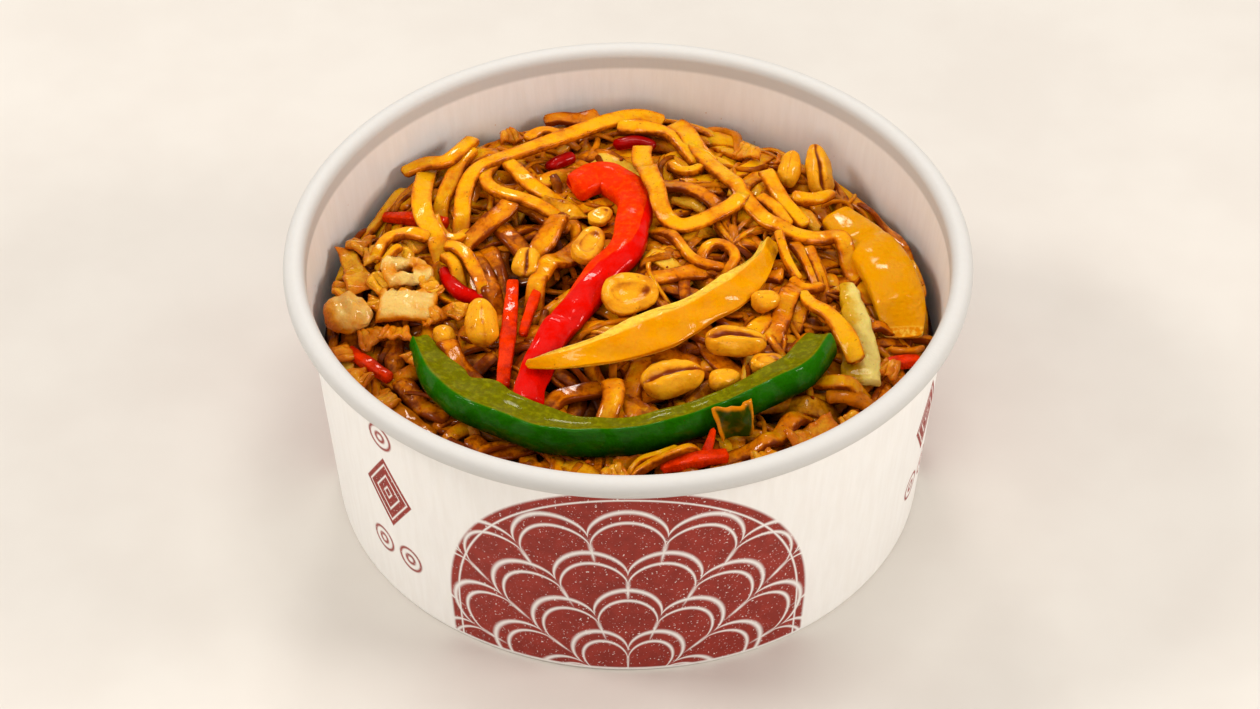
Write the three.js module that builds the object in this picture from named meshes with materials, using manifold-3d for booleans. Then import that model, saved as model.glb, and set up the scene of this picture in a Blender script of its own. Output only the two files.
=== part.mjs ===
// A round paper takeaway bowl filled with stir-fried flat noodles, pepper strips, carrot,
// peanuts, cabbage and onion. Millimetres, +Z up, origin at the middle of the bowl's foot.
// +X is to the right and -Y towards the diner.
import * as THREE from "three";
import { mergeVertices } from "three/addons/utils/BufferGeometryUtils.js";
import Module from "manifold-3d";

const wasm = await Module();
wasm.setup();

// ---- Driving dimensions of the bowl ----
const RIM_DIAMETER = 150;
const BOWL_HEIGHT = 64;
const FOOT_DIAMETER = 132;
const ROLL_RADIUS = 2.4; // rolled paper rim
const PAPER = 0.6; // sidewall thickness
const FOOT_BAND = 1.6; // doubled paper round the foot
const FOOT_RISE = 7; // height of the recess under the base
const BASE_THICKNESS = 0.7;
const ROUND_STEPS = 64; // flats round the bowl
const ROLL_ANGLES = [-139, -95, -48, 0, 45, 90, 135, 178]; // degrees round the rim's roll
const WALL_FLARE = 0.0797; // outward run of the sidewall for each mm of height
const GAP = 0.3; // between pieces that touch

// ---- Driving dimensions of the food ----
const CROWN = new THREE.Vector3(3, 14, 50.5); // highest point of the bare heap
const CROWN_FALL = 10; // drop of the heap over CROWN_SPREAD
const CROWN_SPREAD = 70;
const RIPPLE = 0.9; // unevenness of the bare heap
// Where the heap climbs the wall: direction and spread in degrees, and rise at the wall
const BANKS = [
  { towards: 133, spread: 17, rise: 5 },
  { towards: 168, spread: 15, rise: 4 },
  { towards: 93, spread: 13, rise: 3 },
  { towards: 8, spread: 12, rise: 2.5 },
];
const BANK_FOOT = 42; // radius where the banks begin
const BANK_TOP = 64; // radius where they are full
const SEAT = 0.5; // toppings lie this far off the bare heap
const NOODLE_WIDTH = 4.6;
const NOODLE_THICKNESS = 2;
const NOODLE_BED = -0.9; // a lying noodle's underside against the bare heap
const NOODLE_CLEARANCE = 0.5; // between a noodle and a topping
const LOOSE_NOODLES = 1150; // sites tried for noodles laid by rule
const LOOSE_REACH = 65; // radius that the sites are spread over
const LOOSE_LENGTH = { least: 18, most: 38 };
const LOOSE_ARCH = { least: 1, most: 3.6 }; // rise of a loose noodle's middle
const LOOSE_BEND = 2.6; // range of its turn, in radians
const LOOSE_TILT = 0.9; // range of its roll, in radians
const SHORTEST_NOODLE = 4.6;
const MOST_CROWDED = 0.23; // share of a loose noodle that may lie on others
const TOUCH_REACH = 2.5; // noodles whose middles are nearer in plan lie on each other
const TOP_NOODLE_FACET = 8.5; // length of a noodle's flats
const LOOSE_NOODLE_FACET = 9;
const HEAP_STEPS = 40; // flats round the heap
const HEAP_RINGS = [66, 58, 49, 40, 31, 22, 12]; // radii of the rings on its top
const HEAP_BRIM = 41; // height where its side ends
const NOODLE_SEED = 11;

const END_SHRINK = 0.62; // size of a strip's bevelled end against its section
const GOLDEN_ANGLE = Math.PI * (3 - Math.sqrt(5));
const radians = THREE.MathUtils.degToRad;
const between = ({ least, most }, share) => least + (most - least) * share;
const footRadius = FOOT_DIAMETER / 2;
const rollCentre = {
  r: RIM_DIAMETER / 2 - ROLL_RADIUS,
  z: BOWL_HEIGHT - ROLL_RADIUS,
};
const outerWall = (z) => footRadius + WALL_FLARE * z;
const innerWall = (z) => outerWall(z) - PAPER;
const baseTop = FOOT_RISE + GAP + BASE_THICKNESS;

// ---- Materials ----
const matt = (color, roughness) =>
  new THREE.MeshStandardMaterial({ color, roughness, metalness: 0 });
const MATERIALS = {
  paper: matt(0xf1ece4, 0.6),
  noodle: matt(0xc98a28, 0.35),
  greenPepper: matt(0x3b7d16, 0.25),
  redPepper: matt(0xd0210e, 0.22),
  yellowPepper: matt(0xeab01c, 0.25),
  carrot: matt(0xdb4a12, 0.35),
  peanut: matt(0xc98a3c, 0.4),
  cabbage: matt(0xdcc27a, 0.4),
  onion: matt(0xc9802a, 0.35),
  leek: matt(0x54702a, 0.35),
};

const group = new THREE.Group();
const footprints = []; // discs in plan that the toppings cover: {x, y, radius, top}

function addMesh(name, geometry, material) {
  const mesh = new THREE.Mesh(geometry, material);
  mesh.name = name;
  group.add(mesh);
  return mesh;
}

// How much the heap's banks add to it
function bankHeight(x, y) {
  const out = THREE.MathUtils.clamp((Math.hypot(x, y) - BANK_FOOT) / (BANK_TOP - BANK_FOOT), 0, 1);
  const direction = THREE.MathUtils.radToDeg(Math.atan2(y, x));
  let height = 0;
  for (const { towards, spread, rise } of BANKS) {
    const off = THREE.MathUtils.euclideanModulo(direction - towards + 180, 360) - 180;
    height += rise * out ** 1.5 * Math.exp(-((off / spread) ** 2));
  }
  return height;
}

// Height of the bare heap's top, before anything lies on it
function heapHeight(x, y) {
  const run = Math.hypot(x - CROWN.x, y - CROWN.y) / CROWN_SPREAD;
  const ripple = RIPPLE * Math.sin(x / 9 + 0.8) * Math.cos(y / 11 - 0.4);
  return CROWN.z - CROWN_FALL * run * run + ripple + bankHeight(x, y);
}

// ---- Shape helpers ----

// Keeps positions only, with shared corners merged and collapsed faces dropped
function weld(geometry) {
  const bare = new THREE.BufferGeometry();
  bare.setAttribute("position", geometry.getAttribute("position"));
  bare.setIndex(geometry.index);
  const merged = mergeVertices(bare, 1e-3);
  const corners = merged.index.array;
  const kept = [];
  for (let i = 0; i < corners.length; i += 3) {
    const [a, b, c] = [corners[i], corners[i + 1], corners[i + 2]];
    if (a !== b && b !== c && a !== c) kept.push(a, b, c);
  }
  merged.setIndex(kept);
  merged.computeVertexNormals();
  return merged;
}

// Moves every vertex of a geometry by a rule
function reshape(geometry, rule) {
  const position = geometry.getAttribute("position");
  const vertex = new THREE.Vector3();
  for (let i = 0; i < position.count; i++) {
    rule(vertex.fromBufferAttribute(position, i));
    position.setXYZ(i, vertex.x, vertex.y, vertex.z);
  }
  return geometry;
}

const squared = (value, power) => Math.sign(value) * Math.abs(value) ** power;

// A closed strip bent along a route of centre points. size(t) gives its width and height
// at t from 0 to 1. Its flat side lies level, turned by roll(t). corner is 1 for an oval
// section, and smaller for a squarer one.
function bentStrip({ route, size, sides, steps, corner = 1, roll = () => 0, bevel = 1 }) {
  const curve = new THREE.CatmullRomCurve3(route, false, "centripetal");
  const bevelShare = Math.min(0.2, bevel / curve.getLength());
  const shareAt = (ring) => {
    if (ring === 0 || ring === steps || !bevel) return ring / steps;
    return bevelShare + ((1 - 2 * bevelShare) * (ring - 1)) / (steps - 2);
  };
  const up = new THREE.Vector3(0, 0, 1);
  const tube = new THREE.CylinderGeometry(1, 1, 1, sides, steps);
  if (sides === 4) tube.rotateY(Math.PI / 4);
  return weld(
    reshape(tube, (v) => {
      const ring = Math.round((0.5 - v.y) * steps);
      const t = shareAt(ring);
      const along = curve.getTangentAt(t);
      const side = up.clone().cross(along).normalize();
      side.applyAxisAngle(along, roll(t));
      const lift = along.clone().cross(side);
      const shrink = bevel && (ring === 0 || ring === steps) ? END_SHRINK : 1;
      const [width, height] = size(t);
      const reach = Math.hypot(v.x, v.z);
      const across = reach && squared(v.x / reach, corner) * reach;
      const over = reach && squared(v.z / reach, corner) * reach;
      v.copy(curve.getPointAt(t));
      v.addScaledVector(side, (across * width * shrink) / 2);
      v.addScaledVector(lift, (over * height * shrink) / 2);
    }),
  );
}

// Centre points of a strip that lies on the heap: each stop is [x, y, height of its
// underside over the heap]
function layRoute(stops, size) {
  return stops.map(([x, y, lift = SEAT], i) => {
    const height = size(i / (stops.length - 1))[1];
    return new THREE.Vector3(x, y, heapHeight(x, y) + lift + height / 2);
  });
}

// Value at t along an evenly spaced list
function blend(values, t) {
  const place = Math.min(t, 0.9999) * (values.length - 1);
  const i = Math.floor(place);
  return THREE.MathUtils.lerp(values[i], values[i + 1], place - i);
}

// A lying strip as a node of its own, with its footprint noted
function layStrip(name, material, { stops, widths, heights, steps, sides = 8, corner = 0.7, bevel }) {
  const size = (t) => [blend(widths, t), blend(heights, t)];
  const route = layRoute(stops, size);
  addMesh(name, bentStrip({ route, size, sides, steps, corner, bevel }), material);
  const curve = new THREE.CatmullRomCurve3(route, false, "centripetal");
  const discs = Math.ceil(curve.getLength() / 2);
  for (let i = 0; i <= discs; i++) {
    const t = i / discs;
    const [width, height] = size(t);
    const { x, y, z } = curve.getPointAt(t);
    footprints.push({ x, y, radius: width / 2, top: z + height / 2 });
  }
}

// Places a rounded lump on the heap, tilted about its own axes, and notes its footprint
function placeLump(name, geometry, material, { x, y, lift = SEAT, turn = 0, pitch = 0, lean = 0 }) {
  const mesh = addMesh(name, geometry, material);
  mesh.rotation.set(radians(lean), radians(-pitch), radians(turn), "ZYX");
  mesh.updateMatrix();
  const turned = geometry.clone().applyMatrix4(mesh.matrix);
  turned.computeBoundingBox();
  const position = turned.getAttribute("position");
  let sink = Infinity;
  for (let i = 0; i < position.count; i++) {
    const under = heapHeight(x + position.getX(i), y + position.getY(i));
    sink = Math.min(sink, position.getZ(i) - under);
  }
  mesh.position.set(x, y, lift - sink);
  geometry.computeBoundingBox();
  const half = geometry.boundingBox.max;
  const along = new THREE.Vector3(1, 0, 0).applyEuler(mesh.rotation).setZ(0);
  const spare = Math.max(0, half.x - half.y);
  for (const share of [-1, 0, 1]) {
    footprints.push({
      x: x + along.x * spare * share,
      y: y + along.y * spare * share,
      radius: half.y,
      top: lift - sink + turned.boundingBox.max.z,
    });
  }
}

// A thin wavy leaf: place(u, v) gives its middle surface for u and v from 0 to 1, and both
// faces are split into triangles alike
function leafSolid(columns, rows, thickness, place) {
  const net = new THREE.PlaneGeometry(1, 1, columns, rows);
  const share = net.getAttribute("position");
  const corners = [...net.index.array];
  const points = [];
  const step = 0.01;
  for (const face of [1, -1]) {
    for (let i = 0; i < share.count; i++) {
      const [u, v] = [share.getX(i) + 0.5, share.getY(i) + 0.5];
      const middle = place(u, v);
      const normal = place(u + step, v)
        .sub(middle)
        .cross(place(u, v + step).sub(middle))
        .normalize();
      points.push(middle.addScaledVector(normal, (face * thickness) / 2));
    }
  }
  const count = share.count;
  const index = [...corners];
  for (let i = 0; i < corners.length; i += 3) {
    index.push(corners[i] + count, corners[i + 2] + count, corners[i + 1] + count);
  }
  const across = columns + 1;
  const edge = [];
  for (let i = 0; i < columns; i++) edge.push(i);
  for (let i = 0; i < rows; i++) edge.push(columns + i * across);
  for (let i = columns; i > 0; i--) edge.push(rows * across + i);
  for (let i = rows; i > 0; i--) edge.push(i * across);
  edge.forEach((a, i) => {
    const b = edge[(i + 1) % edge.length];
    index.push(a, b, a + count, b, b + count, a + count);
  });
  const geometry = new THREE.BufferGeometry().setFromPoints(points);
  geometry.setIndex(index);
  return weld(geometry);
}

const toSolid = (geometry) =>
  new wasm.Manifold(
    new wasm.Mesh({
      numProp: 3,
      vertProperties: geometry.getAttribute("position").array,
      triVerts: new Uint32Array(geometry.index.array),
    }),
  );

function fromSolid(solid) {
  const mesh = solid.getMesh();
  const geometry = new THREE.BufferGeometry();
  geometry.setAttribute("position", new THREE.BufferAttribute(mesh.vertProperties, 3));
  geometry.setIndex(new THREE.BufferAttribute(mesh.triVerts, 1));
  geometry.computeVertexNormals();
  return geometry;
}

// A profile of [r, z] points turned round the bowl's upright axis
function turnProfile(profile, steps) {
  const points = profile.map(([r, z]) => new THREE.Vector2(r, z));
  return new THREE.LatheGeometry(points, steps).rotateX(Math.PI / 2);
}

// ---- Bowl ----

function makeSidewall() {
  const roll = [];
  for (const degrees of ROLL_ANGLES) {
    const angle = radians(degrees);
    roll.push([
      rollCentre.r + ROLL_RADIUS * Math.cos(angle),
      rollCentre.z + ROLL_RADIUS * Math.sin(angle),
    ]);
  }
  const profile = [
    [footRadius, 0],
    ...roll,
    [innerWall(FOOT_RISE), FOOT_RISE],
    [outerWall(FOOT_RISE) - FOOT_BAND, FOOT_RISE],
    [footRadius - FOOT_BAND, 0],
    [footRadius, 0],
  ];
  addMesh("bowl_sidewall", weld(turnProfile(profile, ROUND_STEPS)), MATERIALS.paper);
}

function makeBase() {
  const radius = innerWall(FOOT_RISE + GAP) - GAP - 0.1;
  const disc = new THREE.CylinderGeometry(radius, radius, BASE_THICKNESS, ROUND_STEPS);
  const base = addMesh("bowl_base", weld(disc), MATERIALS.paper);
  base.rotation.x = Math.PI / 2;
  base.position.z = FOOT_RISE + GAP + BASE_THICKNESS / 2;
}

// ---- Toppings ----

function makePeppers() {
  // On edge round the front: cut face up, skin outwards
  layStrip("green_pepper_strip", MATERIALS.greenPepper, {
    stops: [
      [-46.2, -11.6],
      [-41.6, -21.8],
      [-36.2, -29.8],
      [-27.8, -36.4],
      [-15.8, -42.4],
      [0, -43.4],
      [13.9, -38.8],
      [28.6, -31],
      [37.4, -24.3],
      [42.4, -15.2],
    ],
    widths: [3, 8, 9.6, 8.8, 6.4, 5.2, 5.4, 6.6, 7.8, 6.4],
    heights: [4.4, 6.6, 7.8, 8.2, 8.2, 8.2, 7.6, 7.4, 7.4, 7],
    steps: 20,
    corner: 0.55,
  });
  // A long crook, hooked at the back
  layStrip("red_pepper_strip", MATERIALS.redPepper, {
    stops: [
      [-12.5, 34],
      [-6, 38.5],
      [0, 34],
      [1.5, 24],
      [0, 13],
      [-6, 2.5],
      [-13, -9],
      [-18.5, -20],
      [-20.8, -29],
      [-21, -33.8],
    ],
    widths: [7, 8.4, 8.4, 7.8, 7.6, 7.4, 7, 6.8, 6.8, 6.6],
    heights: [4.4, 4.8, 5, 5, 4.8, 4.6, 4.4, 4.2, 4, 3.8],
    steps: 18,
    corner: 0.75,
  });
  // Tapered, its tip laid over the red one
  layStrip("yellow_pepper_strip", MATERIALS.yellowPepper, {
    stops: [
      [-22, -26, 5.6],
      [-14, -25.3, 5.4],
      [-6, -22.5, 4.2],
      [2, -17.8, 2.6],
      [10, -12.6, 1.4],
      [17, -7, 0.8],
      [23.5, 0],
      [29.2, 8.6],
      [32, 17],
    ],
    widths: [1.6, 5.6, 8.8, 9.8, 9.6, 9, 8, 6.6, 4.4],
    heights: [1.2, 3, 4.6, 5.4, 5.6, 5.4, 5.2, 4.8, 4.2],
    steps: 14,
    corner: 0.7,
  });
  layStrip("yellow_pepper_slab", MATERIALS.yellowPepper, {
    stops: [
      [46.5, 29.5],
      [51, 22.5],
      [55.8, 13.5],
      [58.8, 4],
      [60.2, -3.8],
      [60, -9, 0.4],
    ],
    widths: [7, 10, 11.6, 11.8, 11.4, 8.6],
    heights: [3.2, 4.4, 5, 5, 4.8, 3.6],
    steps: 10,
    corner: 0.6,
  });
  layStrip("red_pepper_curl", MATERIALS.redPepper, {
    stops: [
      [-41, 10.5],
      [-39, 5],
      [-35.6, 1.4],
      [-29.5, 0],
    ],
    widths: [2.4, 4, 3.8, 2],
    heights: [1.8, 2.6, 2.4, 1.6],
    steps: 6,
    sides: 6,
  });
  layStrip("red_pepper_bit_back", MATERIALS.redPepper, {
    stops: [
      [-18.5, 44],
      [-15.8, 46.6],
      [-12.5, 49],
    ],
    widths: [2.6, 3.8, 3],
    heights: [2, 2.6, 2],
    steps: 4,
    sides: 6,
  });
  layStrip("red_pepper_bit_far", MATERIALS.redPepper, {
    stops: [
      [-3.5, 53],
      [1.5, 54.2],
      [6.5, 53.2],
    ],
    widths: [2.4, 3.4, 2.6],
    heights: [2, 2.4, 2],
    steps: 4,
    sides: 6,
  });
}

function makeCarrots() {
  const sticks = {
    long: { stops: [[-25.4, 4, 1.6], [-26, -12, 0.8], [-27, -28]], width: 3.6, height: 3 },
    short: { stops: [[-17.8, 6.8, 2.2], [-21, -3.6, 1], [-23, -12.6]], width: 2.4, height: 2.2 },
    left: { stops: [[-56, 31], [-48, 29], [-40.4, 26.6]], width: 3, height: 2.6 },
    edge: { stops: [[-61.4, -10], [-57, -15], [-51.4, -20.2]], width: 3, height: 2.6 },
    front: { stops: [[6.8, -48.8], [14, -47], [21.4, -45.2]], width: 3.4, height: 3 },
    right: { stops: [[56, -16], [60, -15.2], [64, -13.8]], width: 3, height: 2.6 },
  };
  for (const [place, { stops, width, height }] of Object.entries(sticks)) {
    layStrip("carrot_stick_" + place, MATERIALS.carrot, {
      stops,
      widths: [width * 0.7, width, width * 0.8],
      heights: [height * 0.7, height, height * 0.8],
      steps: 5,
      sides: 6,
      corner: 0.6,
      bevel: 0.6,
    });
  }
}

// A peanut: whole, split along its seam, or one half with its hollow face up
function peanutGeometry({ length, width, height, kind }) {
  const ball = new THREE.SphereGeometry(1, 8, 6).rotateZ(-Math.PI / 2);
  return weld(
    reshape(ball, (v) => {
      const nose = 1 - 0.16 * v.x;
      const seam = Math.exp(-((v.y / 0.3) ** 2));
      if (kind === "half" && v.z > 0) v.z *= 0.25 - 0.35 * (1 - v.x * v.x) * seam;
      if (kind === "split" && v.z > 0) v.z *= 1 - 0.22 * seam;
      v.set((v.x * length) / 2, (v.y * nose * width) / 2, (v.z * nose * height) / 2);
    }),
  );
}

function makePeanuts() {
  const kernels = [
    { kind: "whole", x: -31.8, y: -10.8, length: 11.2, width: 7.6, height: 7, turn: 98, pitch: 24 },
    { kind: "half", x: 0.4, y: -4.4, length: 12.8, width: 9.8, height: 6, turn: 10, lean: 30 },
    { kind: "split", x: 9.6, y: -27.4, length: 14, width: 9, height: 7, turn: 18, lean: 14 },
    { kind: "split", x: 23.4, y: -17, length: 13.4, width: 7.6, height: 6.4, turn: -4, lean: 12 },
    { kind: "half", x: 30, y: -21.8, length: 7.6, width: 5.4, height: 4.4, turn: 10 },
    { kind: "whole", x: 30.2, y: -3, length: 7, width: 5.6, height: 5, turn: 20 },
    { kind: "half", x: -8.6, y: 12.8, length: 11.6, width: 7, height: 5.4, turn: 70, lean: 10 },
    { kind: "whole", x: 20.6, y: -26.6, length: 7, width: 5.4, height: 4.4, turn: 24 },
    { kind: "whole", x: 36.8, y: 41.4, length: 9, width: 5.6, height: 5, turn: 75, pitch: 35 },
    { kind: "split", x: 43.6, y: 41.6, length: 13, width: 6.6, height: 5.6, turn: 100, pitch: 32 },
    { kind: "whole", x: -40.2, y: -11.8, length: 6.4, width: 4.8, height: 4.6, turn: 125 },
    { kind: "split", x: -22.4, y: 9, length: 8.2, width: 7, height: 5, turn: 84, pitch: 10 },
    { kind: "half", x: -6.2, y: 23.8, length: 6, width: 5, height: 4, turn: 40 },
  ];
  kernels.forEach((kernel, i) => {
    placeLump("peanut_" + (i + 1), peanutGeometry(kernel), MATERIALS.peanut, kernel);
  });
}

// An uneven lump: a ball with a few shallow swellings
function lumpGeometry({ length, width, height, knobs, phase }) {
  return weld(
    reshape(new THREE.SphereGeometry(1, 11, 8), (v) => {
      const swell = 1 + knobs * Math.sin(3.1 * v.x + phase) * Math.cos(2.7 * v.y - phase);
      v.set((v.x * length) / 2, (v.y * width) / 2, (v.z * height) / 2).multiplyScalar(swell);
    }),
  );
}

function makeCabbage() {
  const pale = MATERIALS.cabbage;
  placeLump(
    "cabbage_lump",
    lumpGeometry({ length: 10.6, width: 10.4, height: 7.4, knobs: 0.1, phase: 0.6 }),
    pale,
    { x: -61.8, y: -3.4, turn: 6 },
  );
  placeLump(
    "cabbage_ring",
    weld(reshape(new THREE.TorusGeometry(3.5, 1.7, 6, 12), (v) => {
      v.x *= 1.15;
      v.y *= 0.85;
      v.z += 0.5 * Math.sin(v.x);
    })),
    pale,
    { x: -49.2, y: 7.4, turn: -15 },
  );
  // A ragged piece of stalk, its fringe at the back
  placeLump(
    "cabbage_stalk",
    leafSolid(6, 4, 3.2, (u, v) => {
      const fringe = v > 0.9 ? 0.8 * Math.sin(u * 19) : 0;
      const sag = 1.5 * Math.sin(Math.PI * u) + 0.8 * Math.sin(5 * v);
      return new THREE.Vector3((u - 0.5) * 13, (v - 0.5) * 8.4 + fringe, sag);
    }),
    pale,
    { x: -48.6, y: -2, turn: -4, lean: 16 },
  );
  placeLump(
    "cabbage_leaf_left",
    leafSolid(7, 3, 1.2, (u, v) => {
      const taper = 1 - 0.5 * u;
      const wave = 1.6 * Math.sin(7 * u) * v;
      return new THREE.Vector3((u - 0.5) * 15, (v - 0.5) * 6.6 * taper, wave + 2 * v);
    }),
    pale,
    { x: -60.6, y: 10.4, turn: 110, lean: -20 },
  );
  placeLump(
    "cabbage_leaf_front",
    leafSolid(6, 3, 1.4, (u, v) =>
      new THREE.Vector3((u - 0.5) * 12, (v - 0.5) * 7, 1.1 * Math.sin(6 * u + 2 * v) + 1.4 * v)),
    pale,
    { x: 39.6, y: -40.4, turn: 32, lean: 10 },
  );
  layStrip("cabbage_rib", pale, {
    stops: [
      [48.4, 5.5],
      [50, -6],
      [50.6, -15],
      [50.2, -23.6],
    ],
    widths: [3.4, 6, 7.8, 9],
    heights: [2.4, 3, 3, 2.6],
    steps: 8,
    sides: 6,
  });
  const slivers = {
    cabbage_sliver_back: { stops: [[9.6, 32.4], [13.6, 31], [17.6, 28]], width: 4, height: 2.2 },
    cabbage_strip_right: { stops: [[37, 31.6], [40.4, 27.6], [43, 23.4]], width: 3.6, height: 2.2 },
  };
  for (const [name, { stops, width, height }] of Object.entries(slivers)) {
    layStrip(name, pale, {
      stops,
      widths: [width * 0.5, width, width * 0.6],
      heights: [height * 0.7, height, height * 0.7],
      steps: 6,
      sides: 6,
    });
  }
}

function makeOnionAndLeek() {
  const brown = MATERIALS.onion;
  const curls = {
    onion_curl_front: {
      stops: [[-53, -22.4], [-50.6, -27.6], [-46.4, -32.6], [-41, -37]],
      width: 5,
      height: 2.4,
    },
    onion_piece_right: { stops: [[42.2, -28.8], [47.4, -27.4], [53, -29.4]], width: 5, height: 3 },
    onion_curl_right: { stops: [[56.6, -12.2], [61, -12], [65, -10.2]], width: 1.9, height: 2 },
    onion_curl_low: { stops: [[57, -20.6], [59.4, -20], [61.4, -22]], width: 2.8, height: 2.2 },
  };
  for (const [name, { stops, width, height }] of Object.entries(curls)) {
    layStrip(name, brown, {
      stops,
      widths: [width * 0.5, width, width * 0.6],
      heights: [height * 0.7, height, height * 0.7],
      steps: 6,
      sides: 6,
    });
  }
  // Stands on its lower edge and leans on the green pepper
  placeLump(
    "leek_leaf",
    leafSolid(5, 5, 1.1, (u, v) => {
      const across = (u - 0.5) * (7 + 2 * v);
      return new THREE.Vector3(across, 0.9 * Math.sin(5 * u + 1.5 * v) + 2.2 * v * v, v * 7.6);
    }),
    MATERIALS.leek,
    { x: 23, y: -41.2, lift: 2, turn: 28 },
  );
}

// ---- Noodles ----

function randomSource(seed) {
  let state = seed;
  return () => {
    state = (state * 1664525 + 1013904223) % 4294967296;
    return state / 4294967296;
  };
}

// True where a noodle of this half width, its underside at z, is clear of every topping
// and of the sidewall
function isClear(x, y, z, half) {
  if (Math.hypot(x, y) + half > innerWall(z) - 2 * GAP) return false;
  return footprints.every(
    (disc) =>
      Math.hypot(x - disc.x, y - disc.y) > disc.radius + half + NOODLE_CLEARANCE ||
      z > disc.top + GAP,
  );
}

// The stretches of a route that are clear, as start and end shares of its length
function clearStretches(curve, width, thickness) {
  const checks = 60;
  const found = [];
  let start = null;
  for (let i = 0; i <= checks; i++) {
    const t = i / checks;
    const { x, y, z } = curve.getPointAt(t);
    const clear = isClear(x, y, z - thickness / 2, width / 2);
    if (clear && start === null) start = t;
    if ((!clear || i === checks) && start !== null) {
      found.push([start, clear ? t : (i - 1) / checks]);
      start = null;
    }
  }
  return found;
}

const laidPoints = []; // middles of the noodles laid so far, in plan

// Share of a route, given by points, that lies on noodles laid before it
function crowding(points) {
  const near = (a) => (b) => Math.hypot(a.x - b.x, a.y - b.y) < TOUCH_REACH;
  return points.filter((point) => laidPoints.some(near(point))).length / points.length;
}

// A flat noodle on the heap as solids, one for each stretch that is clear, long enough and
// not mostly on noodles laid before it
function noodleSolids({ stops, tilt, top, width }, thickness) {
  const whole = new THREE.CatmullRomCurve3(
    layRoute(stops, () => [width, thickness]),
    false,
    "centripetal",
  );
  const facet = top ? TOP_NOODLE_FACET : LOOSE_NOODLE_FACET;
  return clearStretches(whole, width, thickness).flatMap(([start, end]) => {
    const length = (end - start) * whole.getLength();
    if (length < SHORTEST_NOODLE) return [];
    const pointAt = (share) => whole.getPointAt(start + (end - start) * share);
    const spots = Array.from({ length: Math.ceil(length) }, (_, i) =>
      pointAt(i / Math.ceil(length)));
    if (!top && crowding(spots) > MOST_CROWDED) return [];
    laidPoints.push(...spots);
    const bends = Math.max(2, Math.ceil(length / facet));
    const route = Array.from({ length: bends + 1 }, (_, i) => pointAt(i / bends));
    const geometry = bentStrip({
      route,
      size: () => [width, thickness],
      sides: top ? 6 : 4,
      steps: bends,
      corner: top ? 0.8 : 0.2,
      roll: (t) => tilt * Math.sin(Math.PI * t),
      bevel: 0,
    });
    return [toSolid(geometry)];
  });
}

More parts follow.
